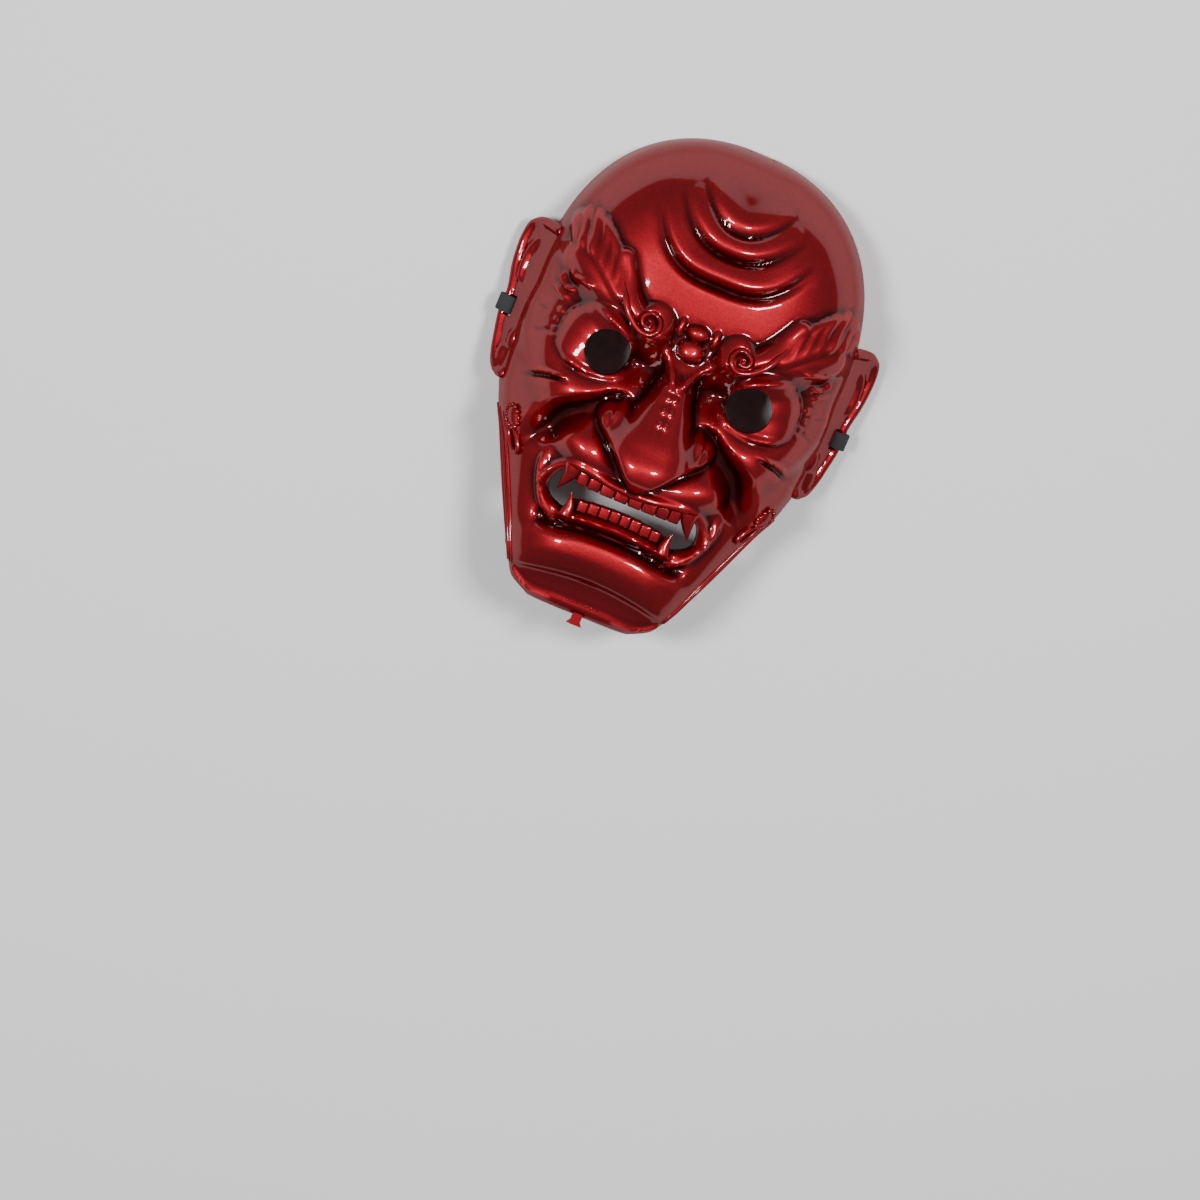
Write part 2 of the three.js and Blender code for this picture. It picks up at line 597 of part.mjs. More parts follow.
const HELIX_AT_STRAP = 16.2; // how far back the ear's edge is where the strap goes round it
const HELIX = [[0, 38.4], [8, 38.9], [15, 38.5], [20, 35.6], [21.8, 29], [21.4, 21], [20, 14], [17.6, 7.5],
  [16.3, 2.5], [HELIX_AT_STRAP, -3], [16.1, -8.5], [13.8, -16], [10.6, -25], [6, -31.5], [0, -33]];
const ANTIHELIX = [[10, 31], [14.4, 25], [15, 15], [12, 8]];

function ear() {
  const line = (points) => new THREE.SplineCurve(points.map(([p, y]) => new THREE.Vector2(p, y)));
  const bead = (points, radius, n, steps) => {
    const at = (s) => line(points).getPoint(s);
    const size = (s) => radius * (0.55 + 0.45 * Math.sin(Math.PI * (0.06 + 0.88 * s)) ** 0.5);
    return rod((s) => inEar(at(s).x, at(s).y, n), () => EAR_N, size, size, 4, steps);
  };
  const root = [new THREE.Vector2(-5, -31), new THREE.Vector2(-5, 36)];
  const edge = [...line(HELIX).getPoints(11), ...root];
  const outline = new THREE.Shape(edge.map(({ x, y }) => new THREE.Vector2(x, y * STRETCH.y)));
  const plate = new THREE.ExtrudeGeometry(outline, { depth: EAR_PLATE, bevelEnabled: false })
    .translate(0, 0, -EAR_PLATE / 2).applyMatrix4(EAR_FRAME);
  const lobe = ellipsoid(5, 7, 2.8, 1)
    .translate(6.5, -25 * STRETCH.y, 0.4)
    .applyMatrix4(EAR_FRAME);
  return union([solid(plate), solid(lobe), bead(HELIX, HELIX_RADIUS, HELIX_LIFT, 11),
    bead(ANTIHELIX, ANTIHELIX_RADIUS, 1.4, 4)]);
}

// The slot beside the helix that the strap is threaded through
const LOOP_INSIDE = HELIX_RADIUS + LOOP_CLEARANCE;
const SLOT_P = HELIX_AT_STRAP - LOOP_INSIDE - STRAP_THICKNESS / 2;
function strapSlot() {
  const long = STRAP_WIDTH + 2 * STRAP_CLEARANCE;
  const block = new THREE.BoxGeometry(SLOT_DEPTH, long, 4 * EAR_PLATE)
    .translate(SLOT_P, STRAP_Y * STRETCH.y, 0)
    .applyMatrix4(EAR_FRAME);
  return solid(block);
}

// The whole moulding
function maskBody() {
  const carved = union([outerBody(), union(TUFTS.map((t) => both(tuft(t)))), both(curl()), knobs(),
    jawRails(), posts(), rosettes(), both(ear())]);
  const opened = carved.subtract(hollow()).subtract(mouthOpening()).subtract(eyeHoles());
  const toothed = opened.add(teeth(UPPER_TEETH)).add(teeth(LOWER_TEETH)).add(fangs());
  const belowTable = new THREE.BoxGeometry(3 * FACE_WIDTH, 3 * FACE_HEIGHT, 40).translate(0, 0, -20);
  return toothed.subtract(both(strapSlot())).subtract(solid(belowTable));
}

// Where the strap is folded round the ear's edge, and where it is sewn to itself behind the ear
const FOLD = inEar(HELIX_AT_STRAP, STRAP_Y, HELIX_LIFT);
const SEAM = FOLD.clone().add(new THREE.Vector3(-4.6, 0, -9));

// The outline of a circle at the fold joined by straight sides to a smaller one at the seam, in x and z
function teardrop(foldRadius, seamRadius) {
  const [dx, dz] = [SEAM.x - FOLD.x, SEAM.z - FOLD.z];
  const heading = Math.atan2(dz, dx);
  const lean = Math.acos((foldRadius - seamRadius) / Math.hypot(dx, dz));
  const arc = (centre, radius, from, to, steps) =>
    Array.from({ length: steps + 1 }, (_, i) => {
      const turn = heading + lerp(from, to, i / steps);
      return new THREE.Vector2(centre.x + radius * Math.cos(turn), centre.z + radius * Math.sin(turn));
    });
  return [...arc(FOLD, foldRadius, lean, 2 * Math.PI - lean, 14), ...arc(SEAM, seamRadius, -lean, lean, 4)];
}

function strapLoop(side) {
  const outline = new THREE.Shape(teardrop(LOOP_INSIDE + STRAP_THICKNESS, 1.1 * STRAP_THICKNESS));
  outline.holes.push(new THREE.Path(teardrop(LOOP_INSIDE, 0.1 * STRAP_THICKNESS)));
  const band = new THREE.ExtrudeGeometry(outline, { depth: STRAP_WIDTH, bevelEnabled: false })
    .translate(0, 0, -STRAP_WIDTH / 2)
    .rotateX(Math.PI / 2)
    .translate(0, FOLD.y, 0);
  return side > 0 ? band : geometryOf(mirrored(solid(band)));
}

// The free strap on the right, from its end at the seam to the middle of its lie, in x, y and height
function strapRoute() {
  const low = STRAP_THICKNESS / 2 + REST_GAP;
  const start = SEAM.clone().sub(FOLD).setLength(1.1 * STRAP_THICKNESS + TOUCH_GAP).add(SEAM);
  const drop = start.z - low;
  const falling = [[0, 1], [0.8, 0.66], [2.6, 0.3], [5.6, 0.06], [9, 0]]
    .map(([inwards, share]) => new THREE.Vector3(start.x - inwards, start.y, low + drop * share));
  const lying = [[62.5, -0.4], [56, 6], [50, 15], [43, 25.5], [34, 35], [23, 43], [11, 48], [0, 49.5]]
    .map(([x, y]) => new THREE.Vector3(x, y, low));
  return [...falling, ...lying];
}

function strapBand() {
  const right = strapRoute();
  const left = right.slice(0, -1).map((p) => new THREE.Vector3(-p.x, p.y, p.z));
  const route = new THREE.CatmullRomCurve3([...left, ...right.toReversed()], false, "centripetal");
  const [wide, thick] = [STRAP_WIDTH / 2, STRAP_THICKNESS / 2];
  const corner = 0.3 * STRAP_THICKNESS;
  const section = new THREE.Shape([
    [wide, thick - corner], [wide - corner, thick], [corner - wide, thick], [-wide, thick - corner],
    [-wide, corner - thick], [corner - wide, -thick], [wide - corner, -thick], [wide, corner - thick],
  ].map(([x, y]) => new THREE.Vector2(x, y)));
  return new THREE.ExtrudeGeometry(section, { steps: 44, extrudePath: route });
}

function named(name, geometry, material) {
  const mesh = new THREE.Mesh(geometry, material);
  mesh.name = name;
  return mesh;
}

const lacquer = new THREE.MeshStandardMaterial({ color: 0x8a1820, roughness: 0.22, metalness: 0.55 });
const elastic = new THREE.MeshStandardMaterial({ color: 0x17181a, roughness: 0.85, metalness: 0 });

const mask = new THREE.Group();
mask.add(
  named("mask", geometryOf(maskBody()), lacquer),
  named("strap_loop_right", strapLoop(1), elastic),
  named("strap_loop_left", strapLoop(-1), elastic),
  named("head_strap", strapBand(), elastic),
);

// The frame's origin is on the table, below the middle of the mask's length.
const extent = new THREE.Box3().setFromObject(mask.children[0]);
mask.position.y = -(extent.min.y + extent.max.y) / 2;

export default mask;
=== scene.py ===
"""An oni face mask of moulded, red lacquered plastic with a black elastic head strap, lying face up."""

from math import acos, atan2, cos, hypot, pi, radians, sin

import bmesh
import bpy
import numpy as np
from mathutils import Matrix, Vector
from mathutils.kdtree import KDTree


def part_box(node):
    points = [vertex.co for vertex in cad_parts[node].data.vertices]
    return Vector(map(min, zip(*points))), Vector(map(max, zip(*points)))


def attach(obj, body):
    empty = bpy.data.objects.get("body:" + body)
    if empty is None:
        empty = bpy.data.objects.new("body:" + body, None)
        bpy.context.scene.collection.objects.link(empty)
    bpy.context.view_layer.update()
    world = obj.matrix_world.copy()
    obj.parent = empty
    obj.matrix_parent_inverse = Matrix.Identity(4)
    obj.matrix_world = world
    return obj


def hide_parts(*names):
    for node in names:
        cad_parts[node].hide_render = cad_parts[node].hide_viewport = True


bl_info = {
    "name": "Oni Mask",
    "version": (1, 0, 0),
    "blender": (4, 5, 0),
    "location": "View3D > Sidebar > Oni Mask",
    "description": "Builds a lacquered oni mask with its elastic strap",
    "category": "Add Mesh",
}

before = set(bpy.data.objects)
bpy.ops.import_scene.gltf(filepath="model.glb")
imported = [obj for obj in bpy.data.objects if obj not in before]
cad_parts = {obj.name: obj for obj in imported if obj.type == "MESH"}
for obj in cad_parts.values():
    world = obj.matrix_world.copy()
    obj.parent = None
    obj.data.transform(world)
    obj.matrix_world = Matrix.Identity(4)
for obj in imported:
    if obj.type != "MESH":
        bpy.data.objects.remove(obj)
MASK_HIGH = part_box("mask")[1]

# The carving is worked out in millimetres on a face whose eyes are at y = 0
MM = 0.001
TOP = 106.0
CHIN = -121.0
SHIFT = MASK_HIGH[1] / MM - TOP
WALL = 2.6
RIM_LAND = 1.5
NOSE_RISE = 29.2
WING_RISE = 13.5
NOSE_BLEND = 9.0
EYE_BULGE = 11.0
MOUTH_RECESS = 4.8
EYE_HOLE = (35.0, 0.0)
EYE_HOLE_RADIUS = 10.7
STRAP_Y = -3.0
ARCH_HEIGHT = 11.0
ARCH_HALF = 17.0

INNER_COLUMNS = 56
INNER_ROWS = 72
EAR_CELLS = 46


# Curves and profiles


def smoothstep(x, low, high):
    s = np.clip((x - low) / (high - low), 0, 1)
    return s * s * (3 - 2 * s)


def lerp(a, b, s):
    return a + (b - a) * s


def mound(d):
    return np.where(np.abs(d) < 1, (1 - np.minimum(d * d, 1)) ** 2, 0.0)


def rounded(d):
    """The height of a half circle of radius 1 at a distance d from its middle."""
    return np.sqrt(np.maximum(1 - d * d, 0))


def cap(d):
    """A flat-topped bump of height 1 at a distance d from its middle, down to 0 at 1."""
    return 1 - np.minimum(np.abs(d), 1) ** 2.4


def blend(a, b, width):
    """The higher of two heights, with the corner between them filled over a width."""
    near = np.maximum(width - np.abs(a - b), 0) / width
    return np.maximum(a, b) + near * near * width / 4


def smooth_through(*pairs):
    """A smooth curve through (place, value) pairs that never overshoots them."""
    t, v = np.array(pairs, float).T
    slopes = np.diff(v) / np.diff(t)
    before = np.append(slopes[:1], slopes)
    after = np.append(slopes, slopes[-1:])
    both = before * after
    tangents = np.where(both > 0, 2 * both / np.where(both > 0, before + after, 1), 0)

    def at(x):
        x = np.clip(x, t[0], t[-1])
        i = np.clip(np.searchsorted(t, x, side="right") - 1, 0, len(t) - 2)
        span = t[i + 1] - t[i]
        s = (x - t[i]) / span
        ends = v[i] * (1 + 2 * s) * (1 - s) ** 2 + v[i + 1] * s * s * (3 - 2 * s)
        return ends + span * s * (1 - s) * (tangents[i] * (1 - s) - tangents[i + 1] * s)

    return at


def drawn(points, steps=10):
    """Points along a smooth line through the given ones, with that many steps between each two."""
    p = np.array(points, float)
    p = np.vstack([2 * p[0] - p[1], p, 2 * p[-1] - p[-2]])
    line = []
    for a, b, c, d in zip(p, p[1:], p[2:], p[3:]):
        for s in np.linspace(0, 1, steps, endpoint=False):
            line.append(
                0.5 * (2 * b + (c - a) * s + (2 * a - 5 * b + 4 * c - d) * s**2)
                + 0.5 * (3 * b - a - 3 * c + d) * s**3
            )
    return np.array(line + [p[-2]])


def nearest(line, x, y):
    """Distance to a line, the share of the way along it, and the side of it, +1 on its left."""
    best = np.full(x.shape, 1e9)
    along = np.zeros(x.shape)
    side = np.ones(x.shape)
    for i, (a, b) in enumerate(zip(line, line[1:])):
        ex, ey = b - a
        s = np.clip(((x - a[0]) * ex + (y - a[1]) * ey) / (ex * ex + ey * ey + 1e-12), 0, 1)
        dx, dy = x - a[0] - ex * s, y - a[1] - ey * s
        far = np.hypot(dx, dy)
        closer = far < best
        best = np.where(closer, far, best)
        along = np.where(closer, (i + s) / (len(line) - 1), along)
        side = np.where(closer, np.where(ex * dy - ey * dx >= 0, 1.0, -1.0), side)
    return best, along, side


def oval(x, y, centre, radii, turn=0.0):
    """Distance from the middle of a turned ellipse, 1 on its edge."""
    dx, dy = x - centre[0], y - centre[1]
    c, s = cos(radians(turn)), sin(radians(turn))
    return np.hypot((dx * c + dy * s) / radii[0], (dy * c - dx * s) / radii[1])


def fold(x, y, points, height, half, taper=0.25, shape=mound):
    """A ridge along a line, or a groove where its height is negative, that tapers out at its ends."""
    far, along, _ = nearest(drawn(points), x, y)
    ends = smoothstep(np.minimum(along, 1 - along), -0.02, taper) if taper else 1.0
    return height * shape(far / half) * ends


def step(x, y, points, drop, edge, ease, fade=0.3):
    """A step along a line: high on its left and low on its right, easing back on both sides."""
    far, along, side = nearest(drawn(points), x, y)
    ends = smoothstep(np.minimum(along, 1 - along), 0, fade)
    return side * drop * 0.5 * smoothstep(far, 0, edge) * np.exp(-((far / ease) ** 2)) * ends


# The bare face


CROWN_FROM, CROWN_HALF, CROWN_ROUNDNESS = 20.0, 77.0, 2.3
SIDE_ROUNDNESS = 2.8
sides_half = smooth_through(
    (CHIN, 24.7), (-115, 35.7), (-101, 42.7), (-75, 55.7), (-55.6, 65.4), (-44, 71.8), (-32, 75.5),
    (-10, 76.8), (CROWN_FROM, CROWN_HALF),
)
middle_height = smooth_through(
    (CHIN, 58), (-117, 59.5), (-112, 61), (-106, 63.5), (-103, 66), (-100.5, 70.2), (-90, 70.5),
    (-77, 69), (-60, 70), (-40, 71.5), (0, 72), (30, 72), (45, 71), (63, 67.5), (80, 59.5),
    (92, 48), (100, 35), (104, 22), (TOP, 8),
)
jaw_rise = smooth_through(
    (CHIN, 48), (-101, 44), (-90, 39.5), (-75, 30), (-50, 13), (-38, 3), (-28, 0), (TOP, 0),
)


def outline_half(y):
    share = np.clip((y - CROWN_FROM) / (TOP + 0.2 - CROWN_FROM), 0, 1)
    crown = CROWN_HALF * (1 - share**CROWN_ROUNDNESS) ** (1 / CROWN_ROUNDNESS)
    return np.where(y < CROWN_FROM, sides_half(y), crown)


def rim_height(y):
    return jaw_rise(y) + ARCH_HEIGHT * mound((y - STRAP_Y) / ARCH_HALF)


def bare_point(across, y):
    """A point of the bare face, where across runs from -1 to 1 from rim to rim."""
    y = np.clip(y, CHIN, TOP)
    share = np.sin(across * pi / 2)
    x = share * outline_half(y)
    land = rim_height(y) + RIM_LAND
    chin_sag = 0.0045 * x * x * smoothstep(-y, 88, 100)
    rise = (1 - np.abs(share) ** SIDE_ROUNDNESS).clip(0) ** (1 / SIDE_ROUNDNESS)
    z = land + np.maximum(middle_height(y + chin_sag) - land, 0) * rise
    return np.stack([x, y, z], axis=-1)


def bare_normal(across, y):
    t0, t1 = np.maximum(across - 0.01, -1), np.minimum(across + 0.01, 1)
    y0, y1 = np.maximum(y - 0.6, CHIN), np.minimum(y + 0.6, TOP)
    along = bare_point(across, y1) - bare_point(across, y0)
    normal = np.cross(bare_point(t1, y) - bare_point(t0, y), along)
    return normal / np.linalg.norm(normal, axis=-1, keepdims=True)


def across_at(x, y):
    return np.arcsin(np.clip(x / outline_half(y), -1, 1)) * 2 / pi


# The carving, drawn for the right half of the face


nose_ridge = smooth_through(
    (-57, 0), (-54, 0.3), (-49, 0.68), (-44, 0.94), (-39, 1), (-32, 0.94), (-20, 0.68), (-8, 0.42),
    (2, 0.26), (10, 0.1), (16, 0),
)
nose_half = smooth_through(
    (-56, 11), (-50, 16), (-44, 21), (-36, 24), (-28, 22), (-18, 16), (-6, 11), (6, 9), (16, 9)
)
ALAR_LINE = drawn(
    [(30.5, -12), (31.6, -18), (30, -25.5), (24.4, -33.4), (17, -38.8), (10, -45.4), (0, -54),
     (-10, -45.4)], 5,
)
MOUTH_EDGE = drawn(
    [(0, -57.3), (12, -56.4), (24, -55), (30.5, -56), (34.8, -60), (36.8, -65.5), (35.6, -70.5),
     (31.5, -74), (25.5, -76), (12, -73.6), (0, -72.6)], 6,
)


def nose(x, y):
    """A broad nose whose wings and underside end at a crisp line."""
    across = np.minimum(x / nose_half(y), 1)
    ridge = NOSE_RISE * nose_ridge(y) * (1 - across**3.2)
    wing = WING_RISE * cap(oval(x, y, (19.6, -28), (11.4, 12.6), 15))
    far, _, side = nearest(ALAR_LINE, x, y)
    height = blend(ridge, wing, NOSE_BLEND) - NOSE_BLEND / 4
    return height * smoothstep(-side * far, -1.4, 3)


def eye(x, y):
    """A bulging eyeball in its socket."""
    d = np.minimum(oval(x, y, (41.5, 3.8), (18.5, 16.5)), 1)
    ball = (1 - d * d) ** 1.05
    socket = 6.5 * mound(oval(x, y, (34, 3), (33, 23), 15))
    corner = 6.5 * mound(oval(x, y, (17, 0), (14, 17)))
    return EYE_BULGE * ball - socket - corner


def inside_mouth(x, y):
    far, _, side = nearest(MOUTH_EDGE, x, y)
    return -side * far


def forms(x, y):
    """The large forms of the face."""
    brow = fold(x, y, [(8, 14), (22, 13), (38, 20), (54, 31), (69, 41)], 7, 14, 0.15)
    down = -y - 0.004 * x * x
    chin = 5.5 * smoothstep(down, 79, 85) * (1 - smoothstep(down, 90, 103)) * (1 - smoothstep(x, 20, 48))
    return (
        nose(x, y)
        + eye(x, y)
        + brow
        + chin
        + 7 * mound(oval(x, y, (48, -18), (30, 18), 30))
        + 6 * mound(oval(x, y, (0, -57), (50, 27)))
        + 7 * mound(oval(x, y, (29, -43), (22, 13), 18))
        - 5.5 * mound(oval(x, y, (42, -38), (26, 9), -52))
    )


def creases(x, y):
    """Folds of skin round the eyes, the nose, the mouth and the chin."""
    cheek = [
        (15, -17.5), (20, -15.2), (26, -16.8), (31, -20.5), (38, -25), (45, -30), (50, -37.5), (54, -47),
        (56, -58),
    ]
    return (
        step(x, y, cheek, 8, 2.2, 11, 0.2)
        + fold(x, y, [(43, -52), (42, -60), (39.8, -68), (35.8, -75.5), (30.5, -80.5), (26.5, -83)], 3.4, 3)
        + fold(x, y, [(37, -57.5), (38.8, -63), (37.6, -69), (34, -74.5), (28.5, -78)], 2, 1.8)
        + fold(x, y, [(-30, -77.5), (-14, -76.2), (0, -75.2), (14, -76.2), (30, -77.5)], 3.2, 4, 0.1)
        + fold(x, y, [(0, -55.2), (12, -54.4), (24, -52.8), (31.5, -54), (37, -59), (39, -66)], 2.4, 3.2, 0)
        + fold(x, y, [(0, -79.6), (14, -80.2), (26, -82.8), (34, -82)], -3.2, 5, 0)
        + fold(x, y, [(0, -116.2), (12, -116.3), (24, -116.8), (31, -114.4), (36, -110.6)], 1.6, 1.3, 0)
        + fold(x, y, [(66, 25), (65, 21), (61, 18.4), (57, 19)], 2.8, 2)
        + fold(x, y, [(62, 28), (58, 25.5), (53, 25), (48, 23.5)], 2.4, 1.9)
        + fold(x, y, [(69, 18), (64, 15), (60, 13.5)], 1.8, 1.8)
        + fold(x, y, [(66, -26), (58, -23), (51, -20.4), (43, -18.8)], -2.4, 1.7)
        + fold(x, y, [(60, -20.8), (52, -18.4), (43, -17)], 1.5, 1.8)
        + fold(x, y, [(52, -7.6), (46, -9.9), (38, -11.6), (29, -9.8), (22, -5)], 2.2, 2.2)
        + fold(x, y, [(46, 19), (38, 15.4), (31, 11.8), (25, 6)], 2, 2.2)
        + fold(x, y, [(11, 12.5), (8, 7), (4, 1.5), (0.5, -5)], 3.4, 3)
        + fold(x, y, [(72, 5.6), (66, 5.4)], -0.9, 1.2)
        + fold(x, y, [(70, -5.4), (60, -1.6)], -0.9, 1.2)
    )


# Brow locks from their tops to their tips, with their half widths
TUFTS = [
    ((43.4, 42.4), (39, 34.8), (36.6, 25), 2.7),
    ((47.8, 46.6), (43.4, 38.2), (40.8, 27.6), 2.9),
    ((52.4, 50.6), (48, 42.4), (45.2, 31), 3.1),
    ((57, 54), (52.8, 46), (49.8, 34.4), 3.3),
    ((61.4, 56), (57.8, 48), (54.6, 37), 3.4),
    ((65.4, 55), (62.8, 47), (59.6, 38.4), 3.5),
    ((67.4, 51), (66.6, 45), (64.4, 39.4), 2.9),
]
BROW_BAND = drawn([(63.5, 47), (58, 46.5), (51, 41.5), (44.5, 35.5), (37, 28)], 4)
CURL = (20.2, 20.4)
CURL_RADIUS = 9.9
STRAND = drawn([(43, 42.5), (38.6, 35), (33.6, 28), (27.5, 22)], 4)
SPIRAL = drawn(
    [(38.4, 32.5), (35.4, 27), (31, 20.4), (25.6, 15.9), (20.4, 15.1), (17.2, 18.6), (18.4, 22.9),
     (22.2, 24.4), (25.4, 21.8), (24.4, 18.7), (21.6, 18.3), (21.2, 20.6), (22.8, 21.2)], 6,
)
TUFT_RISE = 4.6


def tufts(x, y):
    """Locks of the brow, side by side on a raised band."""
    far, along, _ = nearest(BROW_BAND, x, y)
    height = 3 * cap(far / lerp(8.8, 5.4, along))
    for top, by, tip, half in TUFTS:
        far, along, _ = nearest(drawn([top, by, tip]), x, y)
        swell = np.sin(pi * (0.08 + 0.88 * along)) ** 0.5
        lock = TUFT_RISE * swell * cap(far / (half * swell + 0.01))
        height = np.maximum(height, lock + 0.16 * np.cos(far * 3.2) * smoothstep(lock, 0.5, 2))
    return height


def curl(x, y):
    """The swelling at the brow's inner end that the spiral lies on."""
    dome = 4.8 * cap(np.hypot(x - CURL[0], y - CURL[1]) / CURL_RADIUS) ** 0.8
    strand = 4.8 * cap(nearest(STRAND, x, y)[0] / 4.8)
    well = 2.4 * smoothstep(np.hypot(x - 21.6, y - 20), 6, 4)
    return np.maximum(dome, strand) - well * smoothstep(dome, 0.3, 2)


# Knobs and warts: x, y, half width, half height and rise
KNOBS = [
    (0, 15, 6.6, 5.2, 5), (0, 23.2, 5.6, 3.8, 4.2), (8.4, 23.6, 1.9, 4.6, 2.6),
    (1.7, -7.5, 1.3, 1.5, 1.5), (1.7, -13.5, 1.3, 1.5, 1.5), (1.5, -19.3, 1.3, 1.5, 1.5),
    (61, 8, 1.5, 1.7, 1.2), (61.5, 3.5, 1.2, 1.3, 1), (60.5, -0.5, 1.2, 1.3, 1), (59, -3.5, 1, 1, 0.8),
]


def bumps(x, y):
    """Knobs between the brows, warts down the nose and beside the eyes."""
    height = np.zeros(x.shape)
    for cx, cy, rx, ry, rise in KNOBS:
        height = np.maximum(height, rise * cap(oval(x, y, (cx, cy), (rx, ry))) ** 0.6)
    return height


# Folds of the forehead: lowest y, reach, rise at the ends, bend, depth and half width
FOREHEAD_FOLDS = [(46.3, 40, 26, 3.2, 3.6, 4.2), (60, 31, 21, 2.4, 2.8, 3.4), (71.4, 23, 17, 2, 2.2, 2.8)]


def forehead(x, y):
    """Three folds one above the other, each below a swollen roll."""
    height = np.zeros(x.shape)
    for low, reach, rise, bend, depth, half in FOREHEAD_FOLDS:
        xs = np.linspace(-reach, reach, 13)
        line = np.stack([xs, low + rise * np.abs(xs / reach) ** bend], axis=1)
        far, along, side = nearest(drawn(line, 4), x, y)
        ends = np.sin(pi * along) ** 0.7
        roll = smoothstep(far, 0, 3) * (1 - smoothstep(far, 4, 15)) * (side > 0)
        height = height + ends * (0.9 * depth * roll - depth * mound(far / half))
    return height


def carved(x, y):
    """All the carving of the outside, as a height above the bare face."""
    x = np.abs(x)
    gums = -MOUTH_RECESS * smoothstep(inside_mouth(x, y), -0.6, 1.6)
    brow = np.maximum(tufts(x, y), curl(x, y))
    return forms(x, y) + creases(x, y) + gums + brow + bumps(x, y) + forehead(x, y)


def face_point(across, y, carving, outward=0.0):
    bare = bare_point(across, y)
    edge = smoothstep(1 - np.abs(across), 0, 0.12)
    inside_y = np.clip(y, CHIN + 0.5, TOP - 0.5)
    return bare + bare_normal(across, inside_y) * (carving * edge + outward)[..., None]


# Mesh helpers


def new_piece(name, bm, material=None):
    """A new object at the origin from a bmesh, which is used up."""
    mesh = bpy.data.meshes.new(name)
    bm.to_mesh(mesh)
    bm.free()
    piece = bpy.data.objects.new(name, mesh)
    bpy.context.scene.collection.objects.link(piece)
    if material:
        mesh.materials.append(material)
    return piece


def vertex_points(mesh):
    co = np.empty(len(mesh.vertices) * 3, np.float32)
    mesh.vertices.foreach_get("co", co)
    return co.reshape(-1, 3).astype(float)


def verts_of(geom):
    return [g for g in geom if isinstance(g, bmesh.types.BMVert)]


def search_tree(points):
    tree = KDTree(len(points))
    for i, point in enumerate(points):
        tree.insert(point, i)
    tree.balance()
    return tree


def edit(piece, change):
    """Changes a piece's mesh by a function of its bmesh."""
    bm = bmesh.new()
    bm.from_mesh(piece.data)
    change(bm)
    bm.to_mesh(piece.data)
    bm.free()


def block(name, columns, rows, place):
    """A closed block of two grids joined at their edges, placed by a function of their shares."""
    bm = bmesh.new()
    lift = Matrix.Translation((0, 0, 1))
    bmesh.ops.create_grid(bm, x_segments=columns, y_segments=rows, size=1, matrix=lift)
    low = bmesh.ops.create_grid(bm, x_segments=columns, y_segments=rows, size=1)["verts"]
    bmesh.ops.reverse_faces(bm, faces=list({f for v in low for f in v.link_faces}))
    bmesh.ops.bridge_loops(bm, edges=[e for e in bm.edges if e.is_boundary])
    bmesh.ops.recalc_face_normals(bm, faces=bm.faces)
    piece = new_piece(name, bm)
    u, v, top = vertex_points(piece.data).T
    points = place(u, v, top > 0.5) * MM
    piece.data.vertices.foreach_set("co", points.astype(np.float32).ravel())
    piece.data.update()
    return piece


def combine(piece, tools, operation):
    """Joins or cuts a piece by tools, which are used up."""
    for tool in tools:
        modifier = piece.modifiers.new("combine", "BOOLEAN")
        modifier.operation = operation
        modifier.solver = "MANIFOLD"
        modifier.object = tool
    depsgraph = bpy.context.evaluated_depsgraph_get()
    mesh = bpy.data.meshes.new_from_object(piece.evaluated_get(depsgraph))
    piece.modifiers.clear()
    old, piece.data = piece.data, mesh
    bpy.data.meshes.remove(old)
    for tool in tools:
        bpy.data.objects.remove(tool)


def soften(piece, angle):
    """Shades a piece smooth, apart from edges sharper than the angle in degrees."""

    def shade(bm):
        for face in bm.faces:
            face.smooth = True
        for edge in bm.edges:
            if edge.is_manifold:
                edge.smooth = edge.calc_face_angle(0) < radians(angle)

    edit(piece, shade)


def mirrored(bm):
    """Adds the mirror image across the middle of the face."""
    copy = bmesh.ops.duplicate(bm, geom=bm.verts[:] + bm.edges[:] + bm.faces[:])["geom"]
    bmesh.ops.scale(bm, vec=(-1, 1, 1), verts=verts_of(copy))
    bmesh.ops.reverse_faces(bm, faces=[g for g in copy if isinstance(g, bmesh.types.BMFace)])
    return bm


def face_place(x, y, lift=0.0, turn=0.0):
    """A matrix that stands something on the face at a drawn place, with its +Z out of the face."""
    point, normal = on_face([(x, y)], lift)
    out = Vector(normal[0])
    right = Vector((0, 1, 0)).cross(out).normalized()
    basis = Matrix((right, out.cross(right), out)).transposed().to_4x4()
    return Matrix.Translation(Vector(point[0])) @ basis @ Matrix.Rotation(radians(turn), 4, "Z")


def rod(points, ups, wide, tall, sides=16, power=1.0):
    """A rod of oval section through the points. wide and tall are its half sizes at each of them."""
    points, ups = np.array(points, float), np.array(ups, float)
    count = len(points) - 1
    ahead = np.gradient(points, axis=0)
    ahead /= np.linalg.norm(ahead, axis=1)[:, None]
    side = np.cross(ahead, ups)
    side /= np.linalg.norm(side, axis=1)[:, None]
    up = np.cross(side, ahead)
    bm = bmesh.new()
    bmesh.ops.create_cone(bm, cap_ends=True, segments=sides, radius1=1, radius2=1, depth=2)
    long_edges = [e for e in bm.edges if abs(e.verts[0].co.z - e.verts[1].co.z) > 1]
    bmesh.ops.subdivide_edges(bm, edges=long_edges, cuts=count - 1)
    for v in bm.verts:
        i = round((v.co.z + 1) / 2 * count)
        a, b = (np.sign(c) * abs(c) ** power for c in (v.co.x, v.co.y))
        v.co = Vector(points[i] + side[i] * a * wide[i] + up[i] * b * tall[i])
    if bm.calc_volume(signed=True) < 0:
        bmesh.ops.reverse_faces(bm, faces=bm.faces)
    return bm


